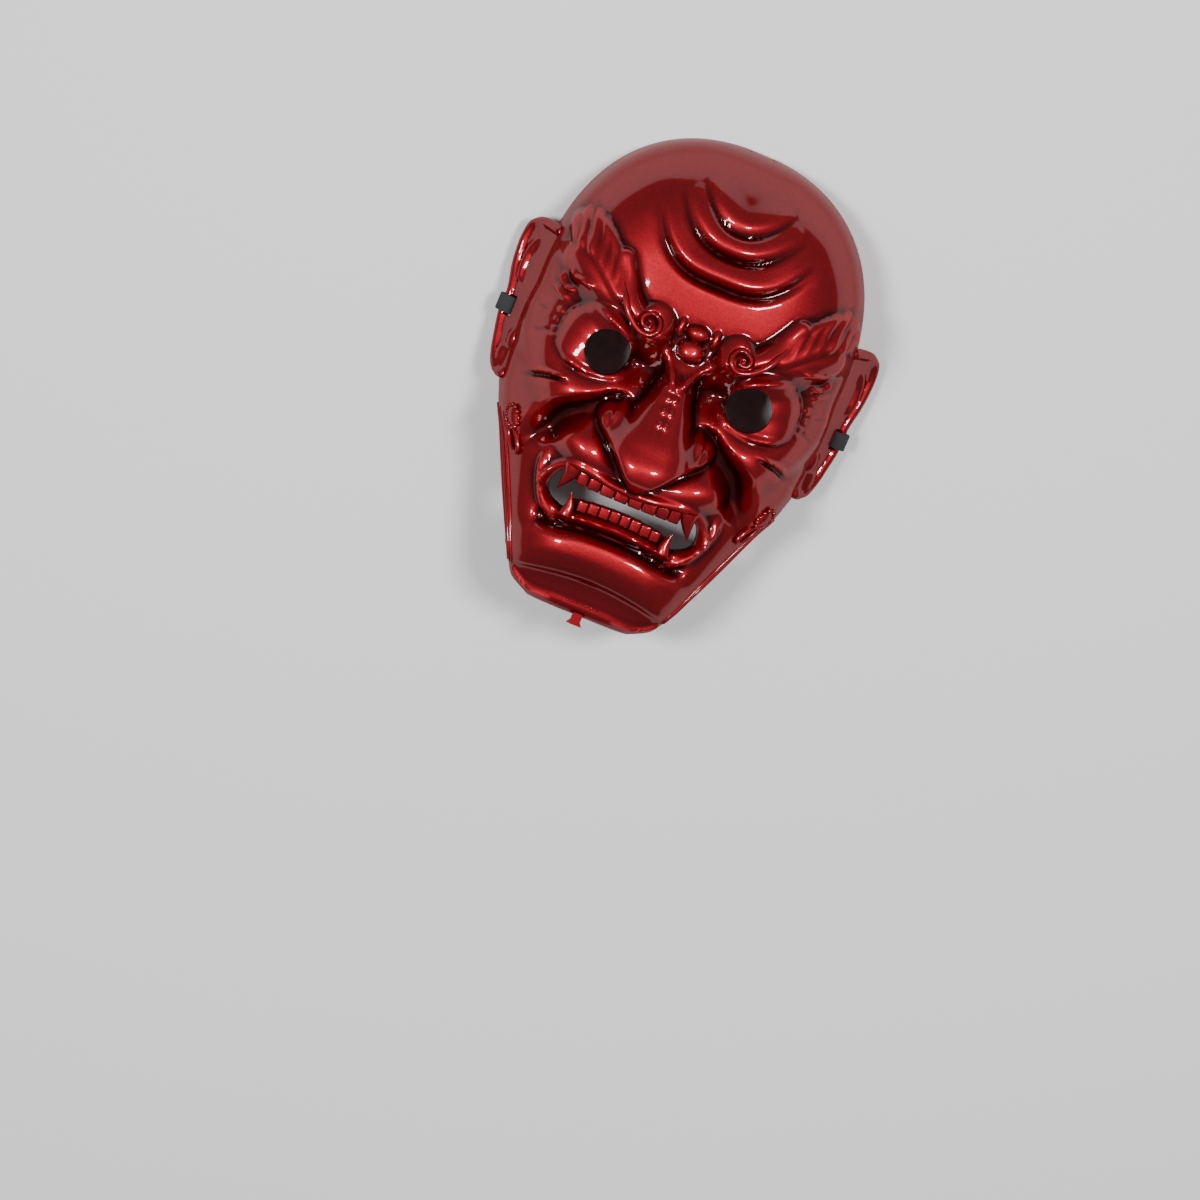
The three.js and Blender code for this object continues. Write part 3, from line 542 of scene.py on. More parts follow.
def on_bare_face(points, height):
    """Places on the bare face, raised by a height along its normal, in metres, and those normals."""
    x, y = np.array(points, float).T
    across = across_at(x, y)
    normals = bare_normal(across, y)
    raised = bare_point(across, y) + normals * np.asarray(height)[..., None]
    return (raised + [0, SHIFT, 0]) * MM, normals


def brow_spirals():
    """A raised strand that curls in on itself at the inner end of each brow."""
    x, y = SPIRAL.T
    shares = np.linspace(0, 1, len(SPIRAL))
    radius = lerp(1.5, 0.75, shares) * smoothstep(shares, -0.02, 0.1).clip(0.3)
    under = forms(x, y) + creases(x, y) + forehead(x, y)
    path, normals = on_bare_face(SPIRAL, under + 4.2 + 0.9 * smoothstep(shares, 0, 0.3))
    strand = rod(path, normals, radius * MM, 1.5 * radius * MM, 20)
    return [new_piece("spirals", mirrored(strand))]


# The shell


def row_places(v):
    """Heights on the face for shares from -1 at the chin to 1 at the top, closer where it is busy."""
    y = np.linspace(CHIN, TOP, 800)
    busy = (
        1
        + 1.0 * smoothstep(y, -86, -74) * (1 - smoothstep(y, 56, 70))
        + 2.2 * smoothstep(y, 92, TOP)
        + 0.8 * mound((y + 106) / 12)
    )
    sums = np.cumsum(busy)
    sums = (sums - sums[0]) / (sums[-1] - sums[0])
    return np.interp((v + 1) / 2, sums, y)


def column_places(u):
    share = lerp(u, np.sin(u * pi / 2), u * u)
    return np.arcsin(np.clip(share, -1, 1)) * 2 / pi


def lowest_near(x, y):
    """The lowest carving near a point, so that the wall keeps its thickness beside steep forms."""
    around = [(WALL * cos(k * pi / 4), WALL * sin(k * pi / 4)) for k in range(8)]
    return np.minimum.reduce([carved(x + dx, y + dy) for dx, dy in around + [(0, 0)]])


def outer_block(columns, rows):
    """The face's outer surface over a floor that follows the rim, with its points and the painted shade for
    each, darker in hollows and lighter on raised parts.
    """
    painted_shades = []

    def place(u, v, top):
        across, y = column_places(u), row_places(v)
        bare = bare_point(across, y)
        points = np.stack([bare[:, 0], y, rim_height(y)], axis=-1)
        carving = carved(bare[top, 0], y[top])
        points[top] = face_point(across[top], y[top], carving)
        points[:, 1] += SHIFT
        # Painted shade: how far the carving lies below its mean 4 mm around, which darkens hollows and
        # lightens raised parts of the lacquer
        around = [(4 * cos(k * pi / 3), 4 * sin(k * pi / 3)) for k in range(6)]
        near = np.mean([carved(bare[top, 0] + dx, y[top] + dy) for dx, dy in around], axis=0)
        painted_shades.append((points[top] * MM, np.clip((near - carving) / 3, -1, 1)))
        return points

    def smooth(bm):
        upper = [v for v in bm.verts if v.normal.z > 0.05]
        for _ in range(2):
            bmesh.ops.smooth_vert(
                bm, verts=upper, factor=0.5, use_axis_x=True, use_axis_y=True, use_axis_z=True
            )

    piece = block("mask", columns, rows, place)
    edit(piece, smooth)
    return piece, painted_shades[0]


def hollow_block():
    """What is cut out behind the face: a block under the carving that runs past the rim."""
    past = 10.0

    def place(u, v, top):
        across = column_places(u)
        y = np.interp((v + 1) / 2, [0, 1], [CHIN - past, TOP])
        bare = bare_point(across, y)
        carving = lowest_near(bare[:, 0], np.clip(y, CHIN, TOP))
        surface = face_point(across, y, carving, -WALL)
        surface[:, 1] += np.minimum(y - CHIN, 0)
        low = rim_height(np.maximum(y, CHIN)) - past
        floor = np.stack([surface[:, 0], surface[:, 1], low], axis=-1)
        return np.where(top[:, None], surface, floor) + [0, SHIFT, 0]

    return block("hollow", INNER_COLUMNS, INNER_ROWS, place)


def prism(name, outline, low, high):
    """A flat outline in x and y, in drawn millimetres, made solid between two heights."""
    bm = bmesh.new()
    verts = [bm.verts.new(Vector((x, y + SHIFT, low)) * MM) for x, y in outline]
    base = bm.faces.new(verts)
    grown = bmesh.ops.extrude_face_region(bm, geom=[base])["geom"]
    rise = Vector((0, 0, (high - low) * MM))
    bmesh.ops.translate(bm, vec=rise, verts=verts_of(grown))
    bmesh.ops.recalc_face_normals(bm, faces=bm.faces)
    return new_piece(name, bm)


# The right end of the gap between the teeth
MOUTH_HALF = [
    (25.4, -60.4), (26.2, -57.6), (31, -57.0), (34.4, -60.4), (36, -65.6), (35, -70.2), (31, -73.2),
    (25.8, -74.6), (24.6, -70.4), (22, -69.2),
]


def mouth_opening():
    side = drawn([(20, -60.8)] + MOUTH_HALF + [(20, -68.6)], 5)
    gap = [(x, -66.4 - 0.0054 * x * x) for x in (15, 10, 5)]
    half = [tuple(p) for p in side] + gap
    outline = half + [(0, -66.4)] + [(-x, y) for x, y in reversed(half)]
    return prism("mouth_opening", outline, 20, 120)


def eye_hole(side):
    turns = np.linspace(0, 2 * pi, 97)[:-1]
    outline = [
        (side * EYE_HOLE[0] + EYE_HOLE_RADIUS * cos(t), EYE_HOLE[1] + EYE_HOLE_RADIUS * sin(t))
        for t in turns
    ]
    return prism("eye_hole", outline, 20, 120)


# Teeth and fangs


def tooth(x, y, wide, tall):
    """One front tooth, a block with rounded edges on the gums."""
    bm = bmesh.new()
    bmesh.ops.create_cube(bm, size=MM, matrix=Matrix.Diagonal((wide, tall, 5.0, 1)))
    bmesh.ops.bevel(
        bm, geom=bm.edges[:], offset=0.7 * MM, segments=3, profile=0.5, affect="EDGES", material=-1,
    )
    bmesh.ops.transform(bm, matrix=face_place(x, y, 1.2), verts=bm.verts)
    return bm


def row_of_teeth(sides, top, bottom):
    """Teeth between the given places across, with their mirror images."""
    pieces = []
    for low, high in zip(sides, sides[1:]):
        x = (low + high) / 2
        tall = top(x) - bottom(x)
        bm = mirrored(tooth(x, (top(x) + bottom(x)) / 2, high - low - 0.25, tall))
        pieces.append(new_piece("tooth", bm))
    return pieces


def on_face(points, lift):
    """Points on the face and its normals there, in metres, from drawn x and y."""
    x, y = np.array(points, float).T
    across = across_at(x, y)
    surface = face_point(across, y, carved(x, y), lift) + [0, SHIFT, 0]
    return surface * MM, bare_normal(across, y)


def fang(points, half, lift):
    """A curved pointed tooth through drawn points, standing off the gums."""
    line = drawn(points, 8)
    share = np.linspace(0, 1, len(line))
    size = np.maximum(half * (1 - share**1.7), 0.12) * MM
    path, normals = on_bare_face(line, lift)
    return new_piece("fang", mirrored(rod(path, normals, size, size * 0.95)))


def teeth():
    upper = row_of_teeth(
        [0.1, 6.7, 13.6, 19.7, 25.2], lambda x: -56.6 + 0.003 * x * x, lambda x: -61.3
    )
    lower = row_of_teeth(
        [0.1, 5, 10.2, 15.4, 20.4], lambda x: -66.2 - 0.0056 * x * x, lambda x: -71.6 - 0.005 * x * x
    )
    fangs = [
        fang([(28, -53.5), (28.8, -59), (31.6, -66.6)], 4.3, 3),
        fang([(23.6, -76.5), (23.4, -72), (24.6, -65.8)], 3.2, 2.6),
    ]
    return upper + lower + fangs


# Ears

# An ear is drawn in its own plane: p runs back and out from the head, y up and n out of the plane
EAR_FLARE = radians(38)
EAR_ROOT = np.array([73.8, 0, 26.0])
EAR_P = np.array([sin(EAR_FLARE), 0, -cos(EAR_FLARE)])
EAR_N = np.array([cos(EAR_FLARE), 0, sin(EAR_FLARE)])
EAR_MIDDLE = np.array([6.0, 3.0])
EAR_PLATE = 2.6
EAR_EDGE = 0.15
HELIX_RADIUS = 2.5
HELIX_LIFT = 0.6
HELIX_AT_STRAP = 16.2
HELIX = [
    (0, 38.4), (8, 38.9), (15, 38.5), (20, 35.6), (21.8, 29), (21.4, 21), (20, 14), (17.6, 7.5),
    (16.3, 2.5), (HELIX_AT_STRAP, -3), (16.1, -8.5), (13.8, -16), (10.6, -25), (6, -31.5), (0, -33),
]
ANTIHELIX = [(10, 31), (14.4, 25), (15, 15), (12, 8)]


def in_ear(p, y, n):
    p, y, n = (np.asarray(a, float)[..., None] for a in (p, y, n))
    return EAR_ROOT + p * EAR_P + y * np.array([0, 1, 0]) + n * EAR_N


def ear_radius():
    """The ear's edge as a distance from its middle, by angle."""
    helix = drawn(HELIX, 8)
    turn = np.gradient(helix, axis=0)
    turn /= np.linalg.norm(turn, axis=1)[:, None]
    edge = helix + HELIX_RADIUS * np.stack([-turn[:, 1], turn[:, 0]], axis=1)
    root = [(-5, y) for y in np.linspace(-31, 36, 12)]
    edge = np.vstack([edge, root]) - EAR_MIDDLE
    angle = np.arctan2(edge[:, 1], edge[:, 0])
    order = np.argsort(angle)
    return angle[order], np.hypot(*edge.T)[order]


def ear_block():
    """The ear as two carved sides that meet round its edge."""
    angles, reaches = ear_radius()

    def place(u, v, top):
        p, y = u * np.sqrt(1 - v * v / 2), v * np.sqrt(1 - u * u / 2)
        r, angle = np.hypot(p, y), np.arctan2(y, p)
        reach = np.interp(angle, angles, reaches, period=2 * pi)
        p, y = EAR_MIDDLE[0] + r * reach * np.cos(angle), EAR_MIDDLE[1] + r * reach * np.sin(angle)
        far, along, side = nearest(drawn(HELIX, 6), p, y)
        tube = HELIX_RADIUS * rounded(np.minimum(far / HELIX_RADIUS, 1))
        plate = np.where((side > 0) & (far < HELIX_RADIUS), EAR_EDGE, EAR_PLATE / 2)
        fold_far, fold_along, _ = nearest(drawn(ANTIHELIX, 6), p, y)
        ends = smoothstep(np.minimum(fold_along, 1 - fold_along), -0.05, 0.2)
        ridge = 3.0 * rounded(np.minimum(fold_far / 2.6, 1)) * ends
        tragus = 3.4 * rounded(np.minimum(oval(p, y, (2, -16), (4, 6)), 1))
        lobe = 3.0 * rounded(np.minimum(oval(p, y, (6.5, -25), (5, 7)), 1))
        front = np.maximum.reduce([plate, HELIX_LIFT + tube, ridge, tragus, lobe])
        front = np.where(far < HELIX_RADIUS, np.maximum(HELIX_LIFT + tube, EAR_EDGE + HELIX_LIFT), front)
        back = np.minimum(-plate, HELIX_LIFT - tube)
        back = np.where((far < HELIX_RADIUS) & (side > 0), HELIX_LIFT - EAR_EDGE - tube, back)
        n = np.where(top, front, back)
        return in_ear(p, y, n) + [0, SHIFT, 0]

    ear = block("ear", EAR_CELLS, EAR_CELLS, place)
    edit(ear, mirrored)
    return ear


# Measures of the strap and of the slots it passes through

STRAP_WIDTH = 8.0
STRAP_THICKNESS = 1.2
STRAP_CLEARANCE = 1.2
LOOP_INSIDE = HELIX_RADIUS + 0.9
SLOT_DEPTH = 4.4
SLOT_P = HELIX_AT_STRAP - LOOP_INSIDE - STRAP_THICKNESS / 2
TOUCH_GAP = 0.3
REST_GAP = 0.1
STRAP_FOLD = in_ear(HELIX_AT_STRAP, STRAP_Y, HELIX_LIFT)
STRAP_SEAM = STRAP_FOLD + [-4.6, 0, -9]


def strap_slots():
    """A block that cuts the slot inside each ear's edge."""
    bm = bmesh.new()
    bmesh.ops.create_cube(bm, size=1)
    size = np.array([SLOT_DEPTH, STRAP_WIDTH + 2 * STRAP_CLEARANCE, 4 * EAR_PLATE])
    for v in bm.verts:
        a, b, c = np.array(v.co) * size
        v.co = Vector((in_ear(SLOT_P + a, STRAP_Y + b, c) + [0, SHIFT, 0]) * MM)
    return new_piece("strap_slots", mirrored(bm))


# Tab, pegs, beads, rails and rosettes


ROSETTE = (61, -45.5)
ROSETTE_TURN = 45
ROSETTE_LIFT = 0.2
RING = (57.8, -55.6)
RING_TURN = 50
RING_STEPS = 33


def posts():
    """The tab under the chin, the peg on each side of it and the beads above it."""
    outline = [(-2.4, 1.5), (-2.4, -2.4), (-3.7, -4.2), (3.7, -4.2), (2.4, -2.4), (2.4, 1.5)]
    chin = on_face([(0, CHIN + 1.2)], 0)[0][0] / MM
    tab = prism("tab", [(x, y + CHIN + 0.6) for x, y in outline], chin[2] - 1.7, chin[2] + 1.7)
    root = np.array([37.5, -99.8 + SHIFT, 45])
    line = np.array([root, root + [3.7, -2.6, -0.2], root + [5.3, -3.6, -0.4]])
    pegs = rod(line * MM, [(0, 0, 1)] * 3, np.array([1.6, 1.5, 2.3]) * MM, np.array([1.6, 1.5, 2.1]) * MM)
    beads = []
    for x in np.linspace(-7.2, 7.2, 7):
        bead = bmesh.new()
        bmesh.ops.create_icosphere(bead, subdivisions=2, radius=0.8 * MM)
        bmesh.ops.transform(bead, matrix=face_place(x, -114.3, 0.2), verts=bead.verts)
        beads.append(new_piece("chin_bead", bead))
    return [tab, new_piece("pegs", mirrored(pegs)), *beads]


def rails():
    """Raised lines along the edge of the jaw."""
    made = []
    for across, half in [(0.965, 1.5), (0.88, 1.1), (0.8, 0.9)]:
        y = np.linspace(-47, -109, 30)
        place = np.full(30, across)
        size = half * np.sin(pi * np.linspace(0.06, 0.94, 30)) ** 0.4 * MM
        x = bare_point(place, y)[:, 0]
        points, ups = on_face(np.stack([x, y], axis=1), 0)
        made.append(new_piece("rail", mirrored(rod(points, ups, size, size, 10))))
    return made


def rosette():
    """A beaded oval boss with a ring hung below it, on each cheek."""
    pieces = []
    place = face_place(*ROSETTE, ROSETTE_LIFT, ROSETTE_TURN)
    bm = bmesh.new()
    boss = Matrix.Diagonal((5.4, 4, 2.2, 1))
    bmesh.ops.create_uvsphere(bm, u_segments=32, v_segments=16, radius=1, matrix=boss)
    bmesh.ops.scale(bm, vec=(MM, MM, MM), verts=bm.verts)
    bmesh.ops.transform(bm, matrix=place, verts=bm.verts)
    pieces.append(bm)
    for k in range(12):
        t = 2 * pi * k / 12
        bead = bmesh.new()
        bmesh.ops.create_icosphere(bead, subdivisions=2, radius=1.15 * MM)
        spot = Matrix.Translation(Vector((5.6 * cos(t), 4.2 * sin(t), 0.9)) * MM)
        bmesh.ops.transform(bead, matrix=place @ spot, verts=bead.verts)
        pieces.append(bead)
    place = face_place(*RING, 0.9, RING_TURN)
    turns = np.linspace(0, 2 * pi, RING_STEPS)
    path = [tuple(place @ (Vector((6.6 * cos(t), 3 * sin(t), 0)) * MM)) for t in turns]
    normal = face_place(*RING).to_3x3() @ Vector((0, 0, 1))
    thick = np.full(RING_STEPS, 1.1 * MM)
    pieces.append(rod(path, [tuple(normal)] * RING_STEPS, thick, thick, 12))
    return [new_piece("rosette", mirrored(bm)) for bm in pieces]


# The strap's sewn loops and its route


def teardrop(fold_radius, seam_radius, steps):
    """Points in x and z round the fold and the seam, joined by straight sides."""
    (x0, z0), (x1, z1) = STRAP_FOLD[[0, 2]], STRAP_SEAM[[0, 2]]
    heading = atan2(z1 - z0, x1 - x0)
    lean = acos((fold_radius - seam_radius) / hypot(x1 - x0, z1 - z0))
    turns = [
        (STRAP_FOLD, fold_radius, np.linspace(lean, 2 * pi - lean, 3 * steps)),
        (STRAP_SEAM, seam_radius, np.linspace(-lean, lean, steps)),
    ]
    points = [
        (middle[0] + radius * cos(heading + t), middle[2] + radius * sin(heading + t))
        for middle, radius, arc in turns
        for t in arc
    ]
    return np.array(points)


def strap_loop(side):
    """The end of the strap, folded round the ear's edge and sewn to itself."""
    steps = 12
    outer = teardrop(LOOP_INSIDE + STRAP_THICKNESS, 1.1 * STRAP_THICKNESS, steps)
    inner = teardrop(LOOP_INSIDE, 0.1 * STRAP_THICKNESS, steps)
    bm = bmesh.new()
    for outline in (outer, inner):
        ring = bmesh.ops.create_circle(bm, cap_ends=False, segments=4 * steps, radius=1)["verts"]
        for v, (x, z) in zip(ring, outline):
            v.co = Vector((side * x, STRAP_Y + SHIFT - STRAP_WIDTH / 2, z)) * MM
    bmesh.ops.bridge_loops(bm, edges=bm.edges[:])
    grown = bmesh.ops.extrude_face_region(bm, geom=bm.faces[:])["geom"]
    width = Vector((0, STRAP_WIDTH * MM, 0))
    bmesh.ops.translate(bm, vec=width, verts=verts_of(grown))
    bmesh.ops.recalc_face_normals(bm, faces=bm.faces)
    rims = [e for e in bm.edges if e.is_manifold and e.calc_face_angle(0) > radians(60)]
    bmesh.ops.bevel(bm, geom=rims, offset=0.3 * MM, segments=2, profile=0.5, affect="EDGES", material=-1)
    return bm


def strap_route():
    """Points from the right seam along the table to the left one, in metres."""
    low = STRAP_THICKNESS / 2 + REST_GAP
    away = STRAP_SEAM - STRAP_FOLD
    start = STRAP_SEAM + away / np.linalg.norm(away) * (1.1 * STRAP_THICKNESS + TOUCH_GAP)
    half = [
        (start[0] - inwards, start[1], low + (start[2] - low) * share)
        for inwards, share in [(0, 1), (0.8, 0.66), (2.6, 0.3), (5.6, 0.06), (9, 0)]
    ]
    lying = [(62.5, -0.4), (56, 6), (50, 15), (43, 25.5), (34, 35), (23, 43), (11, 48), (0, 49.5)]
    half += [(x, y, low) for x, y in lying]
    whole = half + [(-x, y, z) for x, y, z in reversed(half[:-1])]
    return (drawn(whole, 6) + [0, SHIFT, 0]) * MM


def note_weave(piece, across, along):
    """Keeps the places across and along the strap, in metres, for its woven finish."""
    attribute = piece.data.attributes.new("weave", "FLOAT_VECTOR", "POINT")
    places = np.stack([across, along, 0 * along], axis=1)
    attribute.data.foreach_set("vector", places.astype(np.float32).ravel())


# Finishes


FLAKE_SCALE = 2200
# The length of one wave of a wave texture whose scale is 1
WAVE_LENGTH = 0.314


def shared_group(name, inputs, outputs):
    """A new node group with the given sockets, and its input and output nodes."""
    group = bpy.data.node_groups.new(name, "ShaderNodeTree")
    for label, kind in inputs:
        group.interface.new_socket(label, in_out="INPUT", socket_type=kind)
    for label, kind in outputs:
        group.interface.new_socket(label, in_out="OUTPUT", socket_type=kind)
    return group, group.nodes.new("NodeGroupInput"), group.nodes.new("NodeGroupOutput")


def uneven_group():
    """Soft irregular patches between two values, for a roughness or a height."""
    inputs = [("Vector", "NodeSocketVector"), ("Scale", "NodeSocketFloat"), ("Low", "NodeSocketFloat")]
    group, start, end = shared_group(
        "uneven", inputs + [("High", "NodeSocketFloat")], [("Value", "NodeSocketFloat")]
    )
    noise = group.nodes.new("ShaderNodeTexNoise")
    noise.inputs["Detail"].default_value = 4
    spread = group.nodes.new("ShaderNodeMapRange")
    spread.inputs["From Min"].default_value = 0.3
    spread.inputs["From Max"].default_value = 0.7
    group.links.new(start.outputs["Vector"], noise.inputs["Vector"])
    group.links.new(start.outputs["Scale"], noise.inputs["Scale"])
    group.links.new(noise.outputs["Fac"], spread.inputs["Value"])
    group.links.new(start.outputs["Low"], spread.inputs["To Min"])
    group.links.new(start.outputs["High"], spread.inputs["To Max"])
    group.links.new(spread.outputs["Result"], end.inputs["Value"])
    return group


def uneven(tree, vector, scale, low, high):
    """The value of the shared patches in a material."""
    made = tree.nodes.new("ShaderNodeGroup")
    made.node_tree = bpy.data.node_groups.get("uneven") or uneven_group()
    tree.links.new(vector, made.inputs["Vector"])
    for label, value in (("Scale", scale), ("Low", low), ("High", high)):
        made.inputs[label].default_value = value
    return made.outputs["Value"]


def material(name):
    made = bpy.data.materials.new(name)
    made.use_nodes = True
    return made, made.node_tree, made.node_tree.nodes["Principled BSDF"]


def lacquer(colour, gloss):
    """Metallic red with fine flakes under a clear gloss coat, with painted shade in the hollows and a
    painted highlight on raised parts.
    """
    made, tree, shader = material("lacquer")
    nodes, links = tree.nodes, tree.links
    shader.inputs["Metallic"].default_value = 0.85
    shader.inputs["Specular Tint"].default_value = (0.4, 0.06, 0.07, 1)
    shader.inputs["Coat Roughness"].default_value = gloss
    shader.inputs["Coat IOR"].default_value = 1.5
    coords = nodes.new("ShaderNodeTexCoord").outputs["Object"]
    painted_shade = nodes.new("ShaderNodeAttribute")
    painted_shade.attribute_name = "painted_shade"
    shade = nodes.new("ShaderNodeMapRange")
    shade.inputs["From Min"].default_value = -0.45
    shade.inputs["From Max"].default_value = 0.5
    links.new(painted_shade.outputs["Fac"], shade.inputs["Value"])
    # Painted shade: a fifth of the colour in the deepest hollows; painted highlight: half again brighter on
    # raised parts
    ramp = nodes.new("ShaderNodeValToRGB")
    ramp.color_ramp.elements[0].color = [1.45 * c for c in colour] + [1]
    ramp.color_ramp.elements[1].color = [0.2 * c for c in colour] + [1]
    ramp.color_ramp.elements.new(0.5).color = list(colour) + [1]
    links.new(shade.outputs["Result"], ramp.inputs["Fac"])
    flakes = nodes.new("ShaderNodeTexVoronoi")
    flakes.inputs["Scale"].default_value = FLAKE_SCALE
    links.new(coords, flakes.inputs["Vector"])
    glint = nodes.new("ShaderNodeMix")
    glint.data_type = "RGBA"
    glint.blend_type = "MULTIPLY"
    glint.inputs["Factor"].default_value = 0.35
    links.new(ramp.outputs["Color"], glint.inputs["A"])
    links.new(flakes.outputs["Color"], glint.inputs["B"])
    links.new(glint.outputs["Result"], shader.inputs["Base Color"])
    bump = nodes.new("ShaderNodeBump")
    bump.inputs["Strength"].default_value = 0.25
    bump.inputs["Distance"].default_value = 0.0003
    links.new(flakes.outputs["Color"], bump.inputs["Height"])
    links.new(bump.outputs["Normal"], shader.inputs["Normal"])
    links.new(uneven(tree, coords, 28, 0.42, 0.5), shader.inputs["Roughness"])
    edge = nodes.new("ShaderNodeLayerWeight")
    thin = nodes.new("ShaderNodeMapRange")
    thin.inputs["From Min"].default_value = 0.18
    thin.inputs["From Max"].default_value = 0.62
    thin.inputs["To Min"].default_value = 1.0
    thin.inputs["To Max"].default_value = 0.2
    links.new(edge.outputs["Facing"], thin.inputs["Value"])
    links.new(thin.outputs["Result"], shader.inputs["Coat Weight"])
    return made


def elastic(pitch):
    """Black woven elastic with ribs along it and wider ones across."""
    made, tree, shader = material("elastic")
    nodes, links = tree.nodes, tree.links
    shader.inputs["Base Color"].default_value = (0.011, 0.011, 0.013, 1)
    shader.inputs["Sheen Weight"].default_value = 0.25
    place = nodes.new("ShaderNodeAttribute")
    place.attribute_name = "weave"
    heights = []
    for direction, scale in (("X", 1.0), ("Y", 0.6)):
        wave = nodes.new("ShaderNodeTexWave")
        wave.bands_direction = direction
        wave.inputs["Scale"].default_value = scale / pitch * WAVE_LENGTH
        links.new(place.outputs["Vector"], wave.inputs["Vector"])
        heights.append(wave.outputs["Fac"])
    both = nodes.new("ShaderNodeMath")
    both.operation = "MULTIPLY"
    links.new(heights[0], both.inputs[0])
    links.new(heights[1], both.inputs[1])
    bump = nodes.new("ShaderNodeBump")
    bump.inputs["Strength"].default_value = 0.9
    bump.inputs["Distance"].default_value = 0.0004
    links.new(both.outputs["Value"], bump.inputs["Height"])
    links.new(bump.outputs["Normal"], shader.inputs["Normal"])
    links.new(uneven(tree, place.outputs["Vector"], 90, 0.7, 0.9), shader.inputs["Roughness"])
    return made


def elastic_once(pitch):
    return bpy.data.materials.get("elastic") or elastic(pitch)


# The stage, in metres and degrees


EYE_HEIGHT = 0.064
CAMERA_TURN, CAMERA_TILT, CAMERA_ROLL = 4, 6, 22.9
LENS, SENSOR = 118, 36
# The lens in pixels of a frame 1200 pixels wide, and the middle of the eyes right of and above its middle
LENS_PIXELS = 3933
EYES_IN_FRAME = (78, 221)
LAMP_DISTANCE = 1.7
LAMP_ANGLE = 22
LAMP_SIZE = (0.26, 0.4)
WORLD_LIGHT = 0.14
FLOOR_GREY = (0.78, 0.78, 0.78, 1)


def camera_turn():
    """The direction from the eyes to the camera, and the camera's axes as a matrix."""
    d = Vector((-sin(radians(CAMERA_TURN)), sin(radians(CAMERA_TILT)), 1)).normalized()
    up = Vector((0, 1, 0))
    up = (up - up.dot(d) * d).normalized()
    right = up.cross(d)
    roll = radians(CAMERA_ROLL)
    cam_up = cos(roll) * up - sin(roll) * right
    at_eyes = Matrix((cam_up.cross(d), cam_up, d)).transposed()
    seen = Vector((*EYES_IN_FRAME, -LENS_PIXELS)).normalized()
    return d, at_eyes @ seen.rotation_difference(Vector((0, 0, -1))).to_matrix()


# Operators


class OniMaskSettings(bpy.types.PropertyGroup):
    columns: bpy.props.IntProperty(
        name="Columns", description="Cells of the carved surface across the face", default=238, min=40,
        max=420, subtype="UNSIGNED",
    )
    rows: bpy.props.IntProperty(
        name="Rows", description="Cells of the carved surface up the face", default=286, min=60,
        max=520, subtype="UNSIGNED",
    )
    # The lacquer's colour, which the painted shade darkens in hollows and the painted highlight lightens on
    # raised parts
    colour: bpy.props.FloatVectorProperty(
        name="Lacquer", description="Colour of the metallic lacquer on open surfaces",
        default=(0.27, 0.008, 0.014), subtype="COLOR", min=0, max=1,
    )
    gloss: bpy.props.FloatProperty(
        name="Coat roughness", description="Roughness of the clear coat", default=0.05, min=0, max=1,
        subtype="FACTOR",
    )
    pitch: bpy.props.FloatProperty(
        name="Weave pitch", description="Distance between the ribs of the elastic", default=0.0008,
        min=0.0002, max=0.01, unit="LENGTH",
    )
    distance: bpy.props.FloatProperty(
        name="Camera distance", description="From the camera to the middle of the eyes", default=1.8,
        min=0.3, max=10, unit="LENGTH",
    )
    power: bpy.props.FloatProperty(
        name="Softbox power", description="Power of each of the two softboxes", default=26, min=0,
        max=500, unit="POWER",
    )


class OBJECT_OT_oni_mask(bpy.types.Operator):
    """Moulds the mask with its carving, teeth and ears"""

    bl_idname = "object.oni_mask"
    bl_label = "Mask"

    def execute(self, context):
        settings = context.scene.oni_mask
        mask, (places, painted_shade_values) = outer_block(settings.columns, settings.rows)
        combine(mask, [ear_block()], "UNION")
        combine(mask, [hollow_block(), mouth_opening(), eye_hole(1), eye_hole(-1)], "DIFFERENCE")
        combine(mask, teeth() + brow_spirals() + posts() + rails() + rosette(), "UNION")
        combine(mask, [strap_slots()], "DIFFERENCE")
        # Painted shade and painted highlight, kept on each point for the lacquer to darken hollows and
        # lighten raised parts
        tree = search_tree(places)
        values = [painted_shade_values[tree.find(v.co)[1]] for v in mask.data.vertices]
        attribute = mask.data.attributes.new("painted_shade", "FLOAT", "POINT")
        attribute.data.foreach_set("value", np.array(values, np.float32))
        soften(mask, 38)
        mask.data.materials.clear()
        mask.data.materials.append(lacquer(settings.colour, settings.gloss))
        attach(mask, "root")
        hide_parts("mask")
        return {"FINISHED"}


class OBJECT_OT_oni_strap_loops(bpy.types.Operator):
    """Folds an end of the elastic strap round each ear"""

    bl_idname = "object.oni_strap_loops"
    bl_label = "Strap loops"

    def execute(self, context):
        fabric = elastic_once(context.scene.oni_mask.pitch)
        for side, name in ((1, "strap_loop_right"), (-1, "strap_loop_left")):
            loop = new_piece(name.replace("strap", "elastic"), strap_loop(side), fabric)
            x, y, z = (vertex_points(loop.data) / MM).T
            turn = np.arctan2(z - STRAP_FOLD[2], side * x - STRAP_FOLD[0])
            note_weave(loop, (y - SHIFT - STRAP_Y) * MM, turn * (LOOP_INSIDE + STRAP_THICKNESS) * MM)
            soften(loop, 40)
            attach(loop, "root")
            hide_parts(name)
        return {"FINISHED"}


